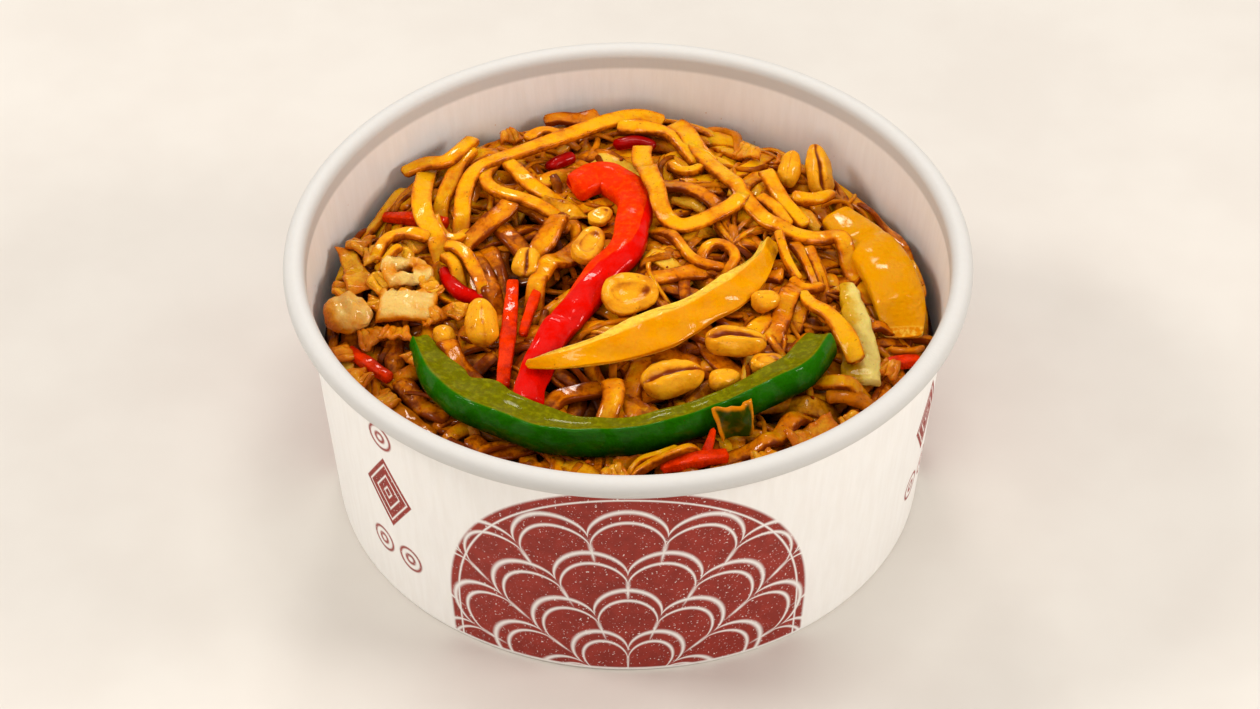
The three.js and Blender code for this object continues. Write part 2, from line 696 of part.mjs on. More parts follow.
// The noodles that lie on top and give the heap its look: width, and stops of [x, y, lift
// over the heap without its banks]. Their ends go down into the heap.
const TOP_NOODLES = [
  [4.8, [
    [-46, 46.5, 5], [-46.5, 39.5, 6], [-47, 32.5, 6], [-46.5, 28, 5], [-45, 23, 4], [-42, 16, 1],
  ]],
  [2.6, [[-44, 27.5, 4], [-43, 23.5, 3], [-41, 19.5, 2.5], [-38.5, 18.5, 2.5], [-36.5, 22, 1.5]]],
  [3.6, [[-52, 41.5, 7.5], [-46, 44.5, 7.5], [-42, 43.5, 7.5], [-37.5, 49.5, 7], [-35.5, 53.5, 6]]],
  [3.6, [[-35.5, 50, 6], [-38.5, 45, 5.5], [-40, 40, 5], [-42.5, 32.5, 3], [-42.5, 29.5, 1.5]]],
  [4.2, [
    [8.5, 60, 3], [3, 62, 4], [-5, 59.5, 4.2], [-14.5, 52.5, 4.6], [-24.5, 45, 5.5],
    [-34, 40, 6], [-37, 33.5, 5], [-37.5, 26.5, 1.5],
  ]],
  [3.4, [[-28, 42.5, 5], [-25, 38, 4.5], [-22.5, 34, 4], [-19, 31.5, 3], [-17, 31.5, 1.5]]],
  [3.2, [
    [-30, 42, 5], [-32, 40, 5], [-32.5, 36, 5], [-31, 33, 4.6], [-27.5, 30.5, 4],
    [-23.5, 29, 3.4], [-17.5, 26.5, 1.4],
  ]],
  [4.6, [[-26, 28.5, 3.5], [-28, 25, 3.5], [-30.5, 23, 3], [-33, 20.5, 2.4], [-36, 18.5, 1]]],
  [4.6, [[-29.5, 24.5, 1], [-27, 20, 1], [-24, 16, 1], [-22, 13, 0]]],
  [5.0, [[-15, 24, 2.4], [-17, 19.5, 2.4], [-19, 15, 2], [-21, 12.5, 1]]],
  [3.0, [[-41.5, 15.5, 3], [-38.5, 15, 3], [-36, 12, 3], [-34, 7.5, 2.6], [-32, 2, 1]]],
  [3.0, [[-41.5, 13.5, 2.4], [-39, 10.5, 2], [-38, 8, 1]]],
  [3.0, [[-57, 12, 5], [-53, 17, 5], [-49, 18.5, 4.5], [-44, 17.5, 3]]],
  [2.4, [[-56.5, 10.5, 4], [-53, 12, 4.5], [-50, 13.5, 4]]],
  [4.6, [[-34, 14.5, 0.5], [-32, 6.5, 0.5], [-29.5, 0, 0]]],
  [4.6, [[-31, 15.5, 0.5], [-29, 8, 0.5], [-28, 1, 0]]],
  [5.0, [[-11, 15, 1.5], [-14, 11, 2], [-18, 6.5, 2], [-20, 2, 1.6], [-20.5, -1, 0.4]]],
  [4.6, [[-40, -14, 1.5], [-37.5, -18, 1.5], [-34.5, -21.5, 1]]],
  [3.0, [[-23.5, 51.5, 4.5], [-21.5, 54, 5], [-19.5, 55.5, 5], [-16.5, 54, 5], [-14, 52.5, 4]]],
  [3.5, [[-20, 62.5, 3.5], [-16, 63.5, 4], [-11.5, 62, 4], [-6.5, 64.5, 3.5]]],
  [3.2, [
    [-3, 57.5, 4], [1.5, 57, 4], [5.5, 57, 3.6], [9.5, 55.5, 3.2], [14, 47.5, 2.6], [16, 44, 2],
  ]],
  [5.0, [[10, 60.5, 2.6], [13, 57, 3], [15, 51.5, 3], [17, 47, 2.6], [19, 43.5, 2]]],
  [3.8, [
    [14.5, 54, 2.6], [17.5, 45.5, 3.2], [22, 38, 3.2], [27.5, 27, 3.2], [33.5, 20, 2.8],
    [42.5, 18, 2.6], [46.5, 18, 2.6], [50.5, 9.5, 1.6], [54.5, 1.5, 0.4],
  ]],
  [4.2, [
    [3.5, 50, 3.5], [3, 45, 3.5], [4, 40, 3], [5, 34, 3], [6.5, 28.5, 2.8], [7.5, 22.5, 2.6],
    [11.5, 18.5, 2.6], [15.5, 20, 2.8], [20, 23.5, 3], [24.5, 27.5, 3], [27, 32, 1.6],
  ]],
  [2.6, [[6.5, 19, 1.5], [9.5, 17, 2], [11.5, 13, 2], [14, 8.5, 2], [17, 7, 1.8], [20, 8, 1]]],
  [2.8, [[16.5, 11, 1.5], [18, 14, 2], [20.5, 14.5, 2], [23, 13, 2], [24, 10, 1.6], [22.5, 8, 1]]],
  [3.6, [[31, 40.5, 2.4], [33.5, 33.5, 2.8], [35.5, 28.5, 3], [38, 25, 2.6], [40, 22, 2]]],
  [3.0, [[29, 30, 3.5], [32, 27.5, 3.6], [34.5, 24, 3.4], [36, 20.5, 3]]],
  [3.0, [[36.5, 31.5, 3], [39, 31, 3.2], [42.5, 31.5, 3.2], [47, 34.5, 2.4]]],
  [2.2, [[33.5, 17, 2.6], [34, 13, 2.6], [35.5, 9.5, 2.4], [38, 4.5, 2]]],
  [3.0, [[36.5, 17, 2.4], [39, 12.5, 2.2], [41, 8.5, 1.6], [42, 5, 1]]],
  [3.0, [[40, 16.5, 2], [41.5, 11, 2], [43, 6, 1.4]]],
  [2.4, [[36, 5.5, 2.2], [38, 2.5, 2.4], [40.5, 2, 2.4], [43.5, 4, 2]]],
  [2.4, [[9.5, 44.5, 3], [11.5, 41, 3], [13.5, 40.5, 3], [17.5, 43, 2.6]]],
  [3.6, [[5, 36.5, 2], [9, 35, 2.4], [12.5, 34, 2.4], [17, 31, 2.2], [20.5, 28, 1.6]]],
  [4.4, [[27.5, 9, 2], [31, 7.5, 2.4], [35, 6.5, 2.2]]],
  [4, [[38, 1.5, 2], [40.5, -5, 2.8], [44, -8, 4], [48.5, -17, 4.2], [49.5, -21, 3.8]]],
  [4.4, [[32.5, -10, 1.4], [34, -4.5, 2], [36, 0.5, 2.2], [38, 4, 1.8]]],
  [4.4, [[30, -7.5, 1], [32, -2.5, 1.6], [34, 2, 1.6]]],
  [4.0, [[37.5, -4.5, 1], [39, 0, 1.4], [40.5, 4, 1]]],
  [4.0, [[27, -11.5, 1], [30, -7, 1.4], [32.5, -1, 1]]],
  [2.4, [[53, -7.5, 1.6], [56, -6.5, 2], [59.5, -6.5, 2], [65, -6.5, 1.6]]],
  [2.6, [[52.5, -10.5, 1], [55.5, -9, 1.4], [59, -8.5, 1]]],
  [4.0, [[21, -45, 1], [26, -43.5, 1.5], [31, -41.5, 1.5], [36, -35.5, 0.6]]],
  [3.4, [[40.5, -24, 1.4], [44.5, -26, 1.8], [48.5, -26, 1.6]]],
  [1.4, [[1, -49, 1], [2.5, -47.5, 2], [6.5, -47, 2.4], [11, -44.5, 2]]],
  [1.6, [[2.5, -49.5, 1], [7.5, -48, 1.6], [13, -45.5, 1.6]]],
  [5.0, [[6.5, -18, 0.8], [9.5, -18.5, 1], [13, -20, 0.6]]],
  [5.0, [[2.5, -21.5, 1.6], [0.5, -28.5, 1.6], [1.5, -33.5, 1]]],
  [5.0, [[-3.5, -26.5, 2], [-3, -31.5, 2], [-4.5, -35.5, 1.4]]],
  [4.6, [[-17.5, -33, 0.6], [-15, -30, 1], [-10.5, -28.5, 1.2], [-6, -27, 0.8]]],
];

// Stops of a noodle curved evenly either way from a site
function curvedStops({ x, y, heading, bend, length, arch }) {
  const stops = [];
  for (const share of [-0.5, -0.25, 0, 0.25, 0.5]) {
    const run = share * length;
    const angle = heading + (bend * share) / 2;
    const lift = NOODLE_BED + arch * Math.cos(Math.PI * share);
    stops.push([x + run * Math.cos(angle), y + run * Math.sin(angle), lift]);
  }
  return stops;
}

function makeHeap() {
  const bottom = baseTop + GAP;
  const wallGap = 1.5 * GAP;
  const profile = [
    [0, bottom],
    [innerWall(bottom) - wallGap, bottom],
    [innerWall(HEAP_BRIM) - 2 * wallGap, HEAP_BRIM],
    ...HEAP_RINGS.map((r) => [r, HEAP_BRIM]),
    [0, HEAP_BRIM],
  ];
  const core = reshape(turnProfile(profile, HEAP_STEPS), (v) => {
    if (Math.abs(v.z - HEAP_BRIM) < 0.01) v.z = heapHeight(v.x, v.y);
  });
  let heap = toSolid(weld(core));

  const random = randomSource(NOODLE_SEED);
  const laid = TOP_NOODLES.map(([width, stops]) => ({
    stops: stops.map(([x, y, lift], i) => {
      const atEnd = i === 0 || i === stops.length - 1;
      return [x, y, atEnd ? NOODLE_BED : Math.max(NOODLE_BED, lift - bankHeight(x, y))];
    }),
    tilt: 0.15,
    top: true,
    width,
  }));
  for (let i = 0; i < LOOSE_NOODLES; i++) {
    // Sites spread evenly by the golden angle
    const reach = LOOSE_REACH * Math.sqrt((i + 0.5) / LOOSE_NOODLES);
    const turn = i * GOLDEN_ANGLE;
    const stops = curvedStops({
      x: reach * Math.cos(turn),
      y: reach * Math.sin(turn),
      heading: random() * Math.PI * 2,
      bend: (random() - 0.5) * LOOSE_BEND,
      length: between(LOOSE_LENGTH, random()),
      arch: between(LOOSE_ARCH, random()),
    });
    const tilt = (random() - 0.5) * LOOSE_TILT;
    laid.push({ stops, tilt, top: false, width: NOODLE_WIDTH * (0.7 + 0.3 * random()) });
  }
  for (const noodle of laid) {
    for (const solid of noodleSolids(noodle, NOODLE_THICKNESS)) heap = heap.add(solid);
  }
  const pieces = heap.decompose().sort((a, b) => b.volume() - a.volume());
  addMesh("noodle_heap", fromSolid(pieces[0]), MATERIALS.noodle);
}

makeSidewall();
makeBase();
makePeppers();
makeCarrots();
makePeanuts();
makeCabbage();
makeOnionAndLeek();
makeHeap();

export default group;
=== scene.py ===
"""A round paper takeaway bowl filled with stir-fried flat noodles, pepper strips, carrot,
peanuts, cabbage and onion. Sizes are in millimetres until a mesh is made, as in the part:
+Z is up, +X to the right and -Y towards the diner."""

import math

import bpy
import numpy as np
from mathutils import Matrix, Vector, noise


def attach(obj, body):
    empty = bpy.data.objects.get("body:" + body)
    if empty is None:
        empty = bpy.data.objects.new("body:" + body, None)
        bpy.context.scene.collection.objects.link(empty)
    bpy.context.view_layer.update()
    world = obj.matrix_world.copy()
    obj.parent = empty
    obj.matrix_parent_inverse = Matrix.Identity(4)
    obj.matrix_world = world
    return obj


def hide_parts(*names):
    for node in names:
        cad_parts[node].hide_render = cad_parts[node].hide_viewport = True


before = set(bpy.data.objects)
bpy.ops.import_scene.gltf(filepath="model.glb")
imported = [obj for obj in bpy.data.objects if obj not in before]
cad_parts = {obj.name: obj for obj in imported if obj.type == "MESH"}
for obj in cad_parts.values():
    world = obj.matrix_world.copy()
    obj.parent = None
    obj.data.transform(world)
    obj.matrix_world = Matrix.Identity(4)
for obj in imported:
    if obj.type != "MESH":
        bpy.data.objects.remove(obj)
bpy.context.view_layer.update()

MM = 0.001
TAU = 2 * math.pi


def clamp(value):
    """Keeps values from 0 to 1."""
    return np.clip(value, 0, 1)


def bell(value, middle, reach):
    """1 at the middle, fading to both sides."""
    return np.exp(-(((value - middle) / reach) ** 2))


# ---- The bowl and the bare heap, as in the part ----
RIM_RADIUS = 75.0
BOWL_HEIGHT = 64.0
FOOT_RADIUS = 66.0
ROLL_RADIUS = 2.4
PAPER = 0.6
FOOT_BAND = 1.6
FOOT_RISE = 7.0
WALL_FLARE = 0.0797
ROLL_FOOT = 58.4  # height at which the rolled rim begins outside
LAP = 0.32  # how far the sheet's end stands proud at the seam
PRINT_RADIUS = 69.0  # radius of the wall at the middle of the print
CROWN = (3.0, 14.0, 50.5)
CROWN_FALL = 10.0
CROWN_SPREAD = 70.0
RIPPLE = 0.9
# Where the heap climbs the wall: direction and spread in degrees, and rise at the wall
BANKS = [(133, 17, 5.0), (168, 15, 4.0), (93, 13, 3.0), (8, 12, 2.5)]
BANK_FOOT = 42.0
BANK_TOP = 64.0
SEAT = 0.5


def outer_wall(z):
    return FOOT_RADIUS + WALL_FLARE * z


def inner_wall(z):
    return outer_wall(z) - PAPER


def even_heap(x, y):
    """Height of the heap's top without its banks."""
    run = np.hypot(x - CROWN[0], y - CROWN[1]) / CROWN_SPREAD
    ripple = RIPPLE * np.sin(x / 9 + 0.8) * np.cos(y / 11 - 0.4)
    return CROWN[2] - CROWN_FALL * run * run + ripple


def heap_height(x, y):
    out = clamp((np.hypot(x, y) - BANK_FOOT) / (BANK_TOP - BANK_FOOT)) ** 1.5
    direction = np.degrees(np.arctan2(y, x))
    height = even_heap(x, y)
    for towards, spread, rise in BANKS:
        off = (direction - towards + 180) % 360 - 180
        height = height + rise * out * bell(off, 0, spread)
    return height


# ---- Shader maths ----


def operator(operation, reflected=False):
    """An operator of channels, which adds one Math node."""

    def combine(self, other):
        values = (other, self) if reflected else (self, other)
        return self.recipe.math(operation, *values)

    return combine


class Channel:
    """One socket of a recipe. Arithmetic on channels adds Math nodes."""

    __add__ = __radd__ = operator("ADD")
    __sub__ = operator("SUBTRACT")
    __rsub__ = operator("SUBTRACT", reflected=True)
    __mul__ = __rmul__ = operator("MULTIPLY")
    __truediv__ = operator("DIVIDE")
    __pow__ = operator("POWER")
    __mod__ = operator("FLOORED_MODULO")
    most = operator("MAXIMUM")

    def __init__(self, recipe, socket):
        self.recipe = recipe
        self.socket = socket

    def __neg__(self):
        return self * -1.0

    def __abs__(self):
        return self.recipe.math("ABSOLUTE", self)

    def sine(self):
        return self.recipe.math("SINE", self)

    def rise(self, low, high):
        """0 up to low, 1 from high, and smooth between them."""
        settings = {"interpolation_type": "SMOOTHSTEP"}
        return self.recipe.node("MapRange", settings, {0: self, 1: low, 2: high, 3: 0.0, 4: 1.0})

    def near(self, value, reach):
        """1 at a value, fading to 0 at reach from it."""
        return 1 - abs(self - value).rise(0.0, reach)


class Recipe:
    """One material: a Principled shader with what varies over the surface fed into it."""

    def __init__(self, name, settings):
        self.material = bpy.data.materials.new(name)
        self.material.use_nodes = True
        self.tree = self.material.node_tree
        self.shader = self.tree.nodes["Principled BSDF"]
        for key, value in settings.items():
            self.shader.inputs[key].default_value = value
        self.place = self.node("TexCoord", output="Object")

    def node(self, kind, settings=None, inputs=None, output=0):
        made = self.tree.nodes.new("ShaderNode" + kind)
        for key, value in (settings or {}).items():
            setattr(made, key, value)
        for key, value in (inputs or {}).items():
            self.feed(made.inputs[key], value)
        return Channel(self, made.outputs[output])

    def math(self, operation, *values):
        return self.node("Math", {"operation": operation}, dict(enumerate(values)))

    def feed(self, socket, value):
        if isinstance(value, Channel):
            self.tree.links.new(value.socket, socket)
        elif isinstance(value, tuple) and len(value) == 3 and socket.type == "RGBA":
            socket.default_value = (*value, 1.0)
        else:
            socket.default_value = value

    def grain(self, size, detail=2.0, stretch=(1, 1, 1), seed=0.0, bite=0.0):
        """Noise from 0 to 1 whose patches are about size millimetres across."""
        scale = tuple(s / (size * MM) for s in stretch)
        inputs = {"Vector": self.place, "Scale": scale, "Location": (seed,) * 3}
        place = self.node("Mapping", None, inputs)
        inputs = {"Vector": place, "Scale": 1.0, "Detail": detail, "Roughness": 0.55, "Distortion": bite}
        return self.node("TexNoise", None, inputs)

    def value(self, name):
        """A value that the mesh carries at each vertex."""
        return self.node("Attribute", {"attribute_name": name}, output="Fac")

    def mix(self, amount, low, high):
        return self.node("Mix", {"data_type": "RGBA"}, {0: amount, 6: low, 7: high}, output=2)

    def axis(self, name):
        """One coordinate of the surface, in millimetres."""
        return self.node("SeparateXYZ", None, {0: self.place}, output=name) / MM

    def finish(self, color, roughness=None, coat=None, bumps=()):
        """bumps are (height channel, depth in millimetres)."""
        self.feed(self.shader.inputs["Base Color"], color)
        if roughness is not None:
            self.feed(self.shader.inputs["Roughness"], roughness)
        if coat is not None:
            self.feed(self.shader.inputs["Coat Weight"], coat)
        normal = None
        for height, depth in bumps:
            inputs = {"Height": height, "Distance": depth * MM, "Strength": 1.0}
            if normal is not None:
                inputs["Normal"] = normal
            normal = self.node("Bump", None, inputs)
        if normal is not None:
            self.feed(self.shader.inputs["Normal"], normal)
        return self.material


# Glossy and slightly clear, as food wetted by thin sauce is
WET = {
    "Roughness": 0.3,
    "IOR": 1.4,
    "Specular IOR Level": 0.02,
    "Subsurface Weight": 0.22,
    "Subsurface Radius": (1.0, 0.4, 0.06),
    "Subsurface Scale": 1.2 * MM,
    "Coat Weight": 0.4,
    "Coat Roughness": 0.07,
    "Coat IOR": 1.34,
}


def noodle_finish(name, light, mid, dark):
    recipe = Recipe(name, WET)
    tone = recipe.value("tone")
    depth = recipe.value("depth")
    rim = recipe.value("rim")
    sauce = recipe.grain(6.0, 3.0, seed=3.1) - 0.5
    streak = recipe.grain(1.6, 4.0, seed=1.7, bite=0.6) - 0.5
    # Tone and rim darken it: its own sauce, and painted shade by region, at the edges and underneath
    color = recipe.mix((tone + 2.0 * sauce + 0.8 * streak + 0.9 * rim).rise(0.0, 0.8), light, mid)
    color = recipe.mix((tone + 1.7 * sauce + 1.5 * streak + 0.9 * rim).rise(0.6, 1.4), color, dark)
    # Painted shade: the deeper a noodle lies under the heap's top, the nearer it is painted to near-black
    # brown
    deep = (dark[0] * 0.16, dark[1] * 0.12, dark[2] * 0.2)
    color = recipe.mix(depth.rise(0.04, 0.7) * 0.97, color, deep)
    fleck = recipe.grain(0.8, 2.0, seed=9.0).rise(0.66, 0.72)
    color = recipe.mix(fleck * 0.55, color, (0.16, 0.03, 0.002))
    coat = 0.2 + 0.8 * recipe.grain(2.0, 2.0, seed=5.0).rise(0.42, 0.56)
    relief = recipe.grain(1.5, 3.0, seed=2.0)
    crinkle = recipe.grain(0.6, 3.0, seed=6.2)
    return recipe.finish(color, 0.42 + 0.5 * sauce, coat, [(relief, 0.28), (crinkle, 0.08)])


def pepper_finish(name, skin, skin_shaded, flesh, flesh_light):
    """Skin where the mesh says so, moist cut flesh elsewhere."""
    recipe = Recipe(name, WET)
    cover = recipe.value("skin")
    cloud = recipe.grain(9.0, 3.0, seed=0.6)
    pulp = recipe.grain(1.3, 4.0, seed=4.0)
    # Painted shade: the skin turns to its shaded colour where the mesh's tone is high, lower down on the
    # strip
    shade = recipe.value("tone") + 0.8 * (cloud - 0.5)
    outside = recipe.mix(shade.rise(0.1, 0.9), skin, skin_shaded)
    inside = recipe.mix(pulp.rise(0.42, 0.72), flesh, flesh_light)
    color = recipe.mix(cover.rise(0.35, 0.65), inside, outside)
    # The pale band is partly paler flesh and partly a painted sheen on the upper faces
    color = recipe.mix(recipe.value("pale") * (pulp + 0.35).rise(0.3, 1.0), color, flesh_light)
    # A painted highlight along the line between skin and cut flesh
    color = recipe.mix(cover.near(0.5, 0.4) * 0.3, color, flesh_light)
    char = recipe.grain(1.4, 3.0, seed=7.7).rise(0.72, 0.76) * 0.4
    color = recipe.mix(char, color, (0.16, 0.03, 0.004))
    rough = 0.45 - 0.15 * cover + 0.1 * recipe.grain(3.0, 2.0, seed=8.0)
    dimple = recipe.grain(2.8, 2.0, seed=6.0)
    pimple = recipe.grain(1.2, 2.0, seed=3.0)
    bumps = [(dimple, 0.45), (pimple, 0.26), (pulp * (1 - cover), 0.22)]
    wet = recipe.grain(4.0, 2.0, seed=2.4).rise(0.4, 0.6)
    return recipe.finish(color, rough, wet * (0.35 + 0.6 * cover), bumps)


def plain_wet(name, light, dark, patch=4.0, relief=0.25, flecks=0.4, sauce_and_shade=0.5, bias=0.3,
              crust=None, crust_from=0.55, glaze=0.0):
    """Food of one kind, light to dark by patches and by the mesh's tone, which is sauce and
    browning on some pieces and painted shade on the undersides and hollows of others.
    A crust darkens it further where the tone is highest, and glaze is the least wet that it is."""
    recipe = Recipe(name, WET)
    tone = recipe.value("tone")
    cloud = recipe.grain(patch, 3.0, seed=1.3)
    color = recipe.mix((1.6 * (cloud - 0.5) + bias + sauce_and_shade * (tone - 0.2)).rise(0.0, 1.0), light, dark)
    if crust:
        browned = (tone + 0.8 * (cloud - 0.5)).rise(crust_from, crust_from + 0.45)
        color = recipe.mix(browned * 0.85, color, crust)
    fleck = recipe.grain(1.0, 2.0, seed=9.3).rise(0.66, 0.72) * flecks
    color = recipe.mix(fleck, color, (0.2, 0.05, 0.004))
    rough = 0.2 + 0.28 * recipe.grain(3.0, 2.0, seed=4.4)
    wet = glaze + (0.95 - glaze) * recipe.grain(2.6, 2.0, seed=5.5).rise(0.42, 0.58)
    skin = recipe.grain(patch / 3, 3.0, seed=2.2)
    return recipe.finish(color, rough, wet, [(skin, relief)])


# ---- Shape tools ----


class Clay:
    """Gathers the vertices, faces and vertex values of one piece."""

    def __init__(self):
        self.vertices = []
        self.faces = []
        self.values = {}
        self.count = 0

    def add(self, vertices, faces, **values):
        vertices = np.asarray(vertices, float).reshape(-1, 3)
        for name, value in values.items():
            full = np.broadcast_to(np.asarray(value, float), (len(vertices),))
            self.values.setdefault(name, []).append(full)
        for group in faces:
            self.faces.extend((np.asarray(group) + self.count).tolist())
        self.vertices.append(vertices)
        self.count += len(vertices)

    def add_loft(self, rings, **values):
        """Adds a closed skin over rings. Each value is given along the rings and for the ends."""
        vertices, faces = loft(rings)
        for name, (along, end) in values.items():
            values[name] = np.append(np.broadcast_to(along, rings.shape[:2]).ravel(), [end, end])
        self.add(vertices, faces, **values)

    def fire(self, name, material, slot, nodes=()):
        """Makes the piece, and lets it stand for the part's nodes of these names."""
        mesh = bpy.data.meshes.new(name)
        mesh.from_pydata((np.concatenate(self.vertices) * MM).tolist(), [], self.faces)
        for key, parts in self.values.items():
            layer = mesh.attributes.new(key, "FLOAT", "POINT")
            layer.data.foreach_set("value", np.concatenate(parts).astype(np.float32))
        mesh.shade_smooth()
        mesh.materials.append(material)
        piece = bpy.data.objects.new(name, mesh)
        bpy.context.scene.collection.objects.link(piece)
        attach(piece, "root")
        if nodes:
            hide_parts(*nodes)
        return piece


def make_piece(name, finish, slot, nodes, vertices, faces, **values):
    clay = Clay()
    clay.add(vertices, faces, **values)
    clay.fire(name, finish, slot, nodes)


def unit(vectors):
    return vectors / np.maximum(np.linalg.norm(vectors, axis=-1, keepdims=True), 1e-9)


def even_points(curve, spacing):
    """Points an even distance apart on a line through a curve's points."""
    runs = np.concatenate([[0], np.cumsum(np.linalg.norm(np.diff(curve, axis=0), axis=1))])
    count = max(3, int(math.ceil(runs[-1] / spacing)) + 1)
    at = np.linspace(0, runs[-1], count)
    return np.stack([np.interp(at, runs, curve[:, k]) for k in range(curve.shape[1])], axis=1)


def smooth_route(stops, spacing):
    """Even points on a smooth curve through stops."""
    stops = np.asarray(stops, float)
    gaps = np.sqrt(np.linalg.norm(np.diff(stops, axis=0), axis=1))
    knots = np.concatenate([[0], np.cumsum(gaps)])
    slopes = np.gradient(stops, knots, axis=0)
    fine = np.linspace(0, knots[-1], 40 * len(stops))
    i = np.clip(np.searchsorted(knots, fine, side="right") - 1, 0, len(stops) - 2)
    gap = gaps[i][:, None]
    t = ((fine - knots[i]) / gaps[i])[:, None]
    curve = (
        (2 * t**3 - 3 * t**2 + 1) * stops[i]
        + (t**3 - 2 * t**2 + t) * gap * slopes[i]
        + (3 * t**2 - 2 * t**3) * stops[i + 1]
        + (t**3 - t**2) * gap * slopes[i + 1]
    )
    return even_points(curve, spacing)


def along_list(values, share):
    """Values at shares from 0 to 1 of an evenly spaced list."""
    values = np.asarray(values, float)
    return np.interp(share * (len(values) - 1), np.arange(len(values)), values)


def soften(values, reach):
    """A list smoothed over reach of its steps, with its ends kept."""
    size = max(1, int(reach * 2))
    weights = np.exp(-((np.arange(-size, size + 1) / max(reach, 0.1)) ** 2))
    padded = np.concatenate([np.full(size, values[0]), values, np.full(size, values[-1])])
    return np.convolve(padded, weights / weights.sum(), mode="valid")


def path_frames(path, roll=0.0):
    """Unit vectors along a path, to its side and over it, turned by roll."""
    along = unit(np.gradient(path, axis=0))
    side = unit(np.cross([0.0, 0.0, 1.0], along))
    over = np.cross(along, side)
    cosine, sine = (turn(roll).reshape(-1, 1) for turn in (np.cos, np.sin))
    return along, side * cosine + over * sine, over * cosine - side * sine


def loft(rings):
    """A closed skin over rings of points, its ends filled."""
    count, around = rings.shape[:2]
    grid = np.arange(count * around).reshape(count, around)
    following = np.roll(grid, -1, axis=1)
    walls = np.stack([grid[:-1], following[:-1], following[1:], grid[1:]], axis=-1)
    first = np.full(around, count * around)
    start = np.stack([following[0], grid[0], first], axis=-1)
    end = np.stack([grid[-1], following[-1], first + 1], axis=-1)
    middles = [rings[0].mean(0), rings[-1].mean(0)]
    return np.concatenate([rings.reshape(-1, 3), middles]), [walls.reshape(-1, 4), start, end]


def closed_quads(shape):
    """Faces of a grid of points that closes on itself both ways."""
    grid = np.arange(shape[0] * shape[1]).reshape(shape)
    turn = np.roll(grid, -1, axis=0)
    corners = [grid, turn, np.roll(turn, -1, axis=1), np.roll(grid, -1, axis=1)]
    return np.stack(corners, axis=-1).reshape(-1, 4)


def oval(around, power):
    """Points round an oval of half width and half height 1, squarer for a low power."""
    angle = np.arange(around) * TAU / around
    across = np.sign(np.cos(angle)) * np.abs(np.cos(angle)) ** power
    over = np.sign(np.sin(angle)) * np.abs(np.sin(angle)) ** power
    return np.stack([across, over], axis=1)


def rounded_ends(run, reach):
    """Scale of a strip's section along its run, so that its ends are rounded over reach mm."""
    near = np.minimum(run - run[0], run[-1] - run)
    inward = clamp(1 - near / reach)
    return np.sqrt(clamp(1 - inward**2)) * 0.97 + 0.03


def run_of(path):
    return np.concatenate([[0], np.cumsum(np.linalg.norm(np.diff(path, axis=0), axis=1))])


def sweep(path, sections, roll=0.0):
    """Rings of a strip: sections are (ring, point, [across, over]) in millimetres."""
    _, side, over = path_frames(path, roll)
    return path[:, None, :] + sections[..., :1] * side[:, None, :] + sections[..., 1:] * over[:, None, :]


# Where noise is read for a shift along x, y and z; noise_vector would differ from run to run
LUMP_STEPS = [Vector((9.3, -1.5, -8.0)), Vector((0.0, 0.0, 0.0)), Vector((6.3, 0.2, -2.7))]


def lumpy(points, size, amount, seed):
    """Moves points by smooth noise of this patch size, all in millimetres."""
    moved = np.array(points, float)
    offset = Vector((seed * 13.7, seed * 5.3, seed * 9.1))
    for point in moved.reshape(-1, 3):
        place = Vector(point) / size + offset
        point += amount * np.array([noise.noise(place + step) for step in LUMP_STEPS])
    return moved


def soft_step(value, low, high):
    t = clamp((value - low) / (high - low))
    return t * t * (3 - 2 * t)


def hums(share, rng, waves=3, amount=1.0):
    """A smooth random line over shares from 0 to 1."""
    total = np.zeros_like(share)
    for k in range(1, waves + 1):
        total += rng.normal() / k * np.sin(TAU * (k * share * 0.5 + rng.random()))
    return amount * total


# ---- The heap of noodles, laid piece by piece ----


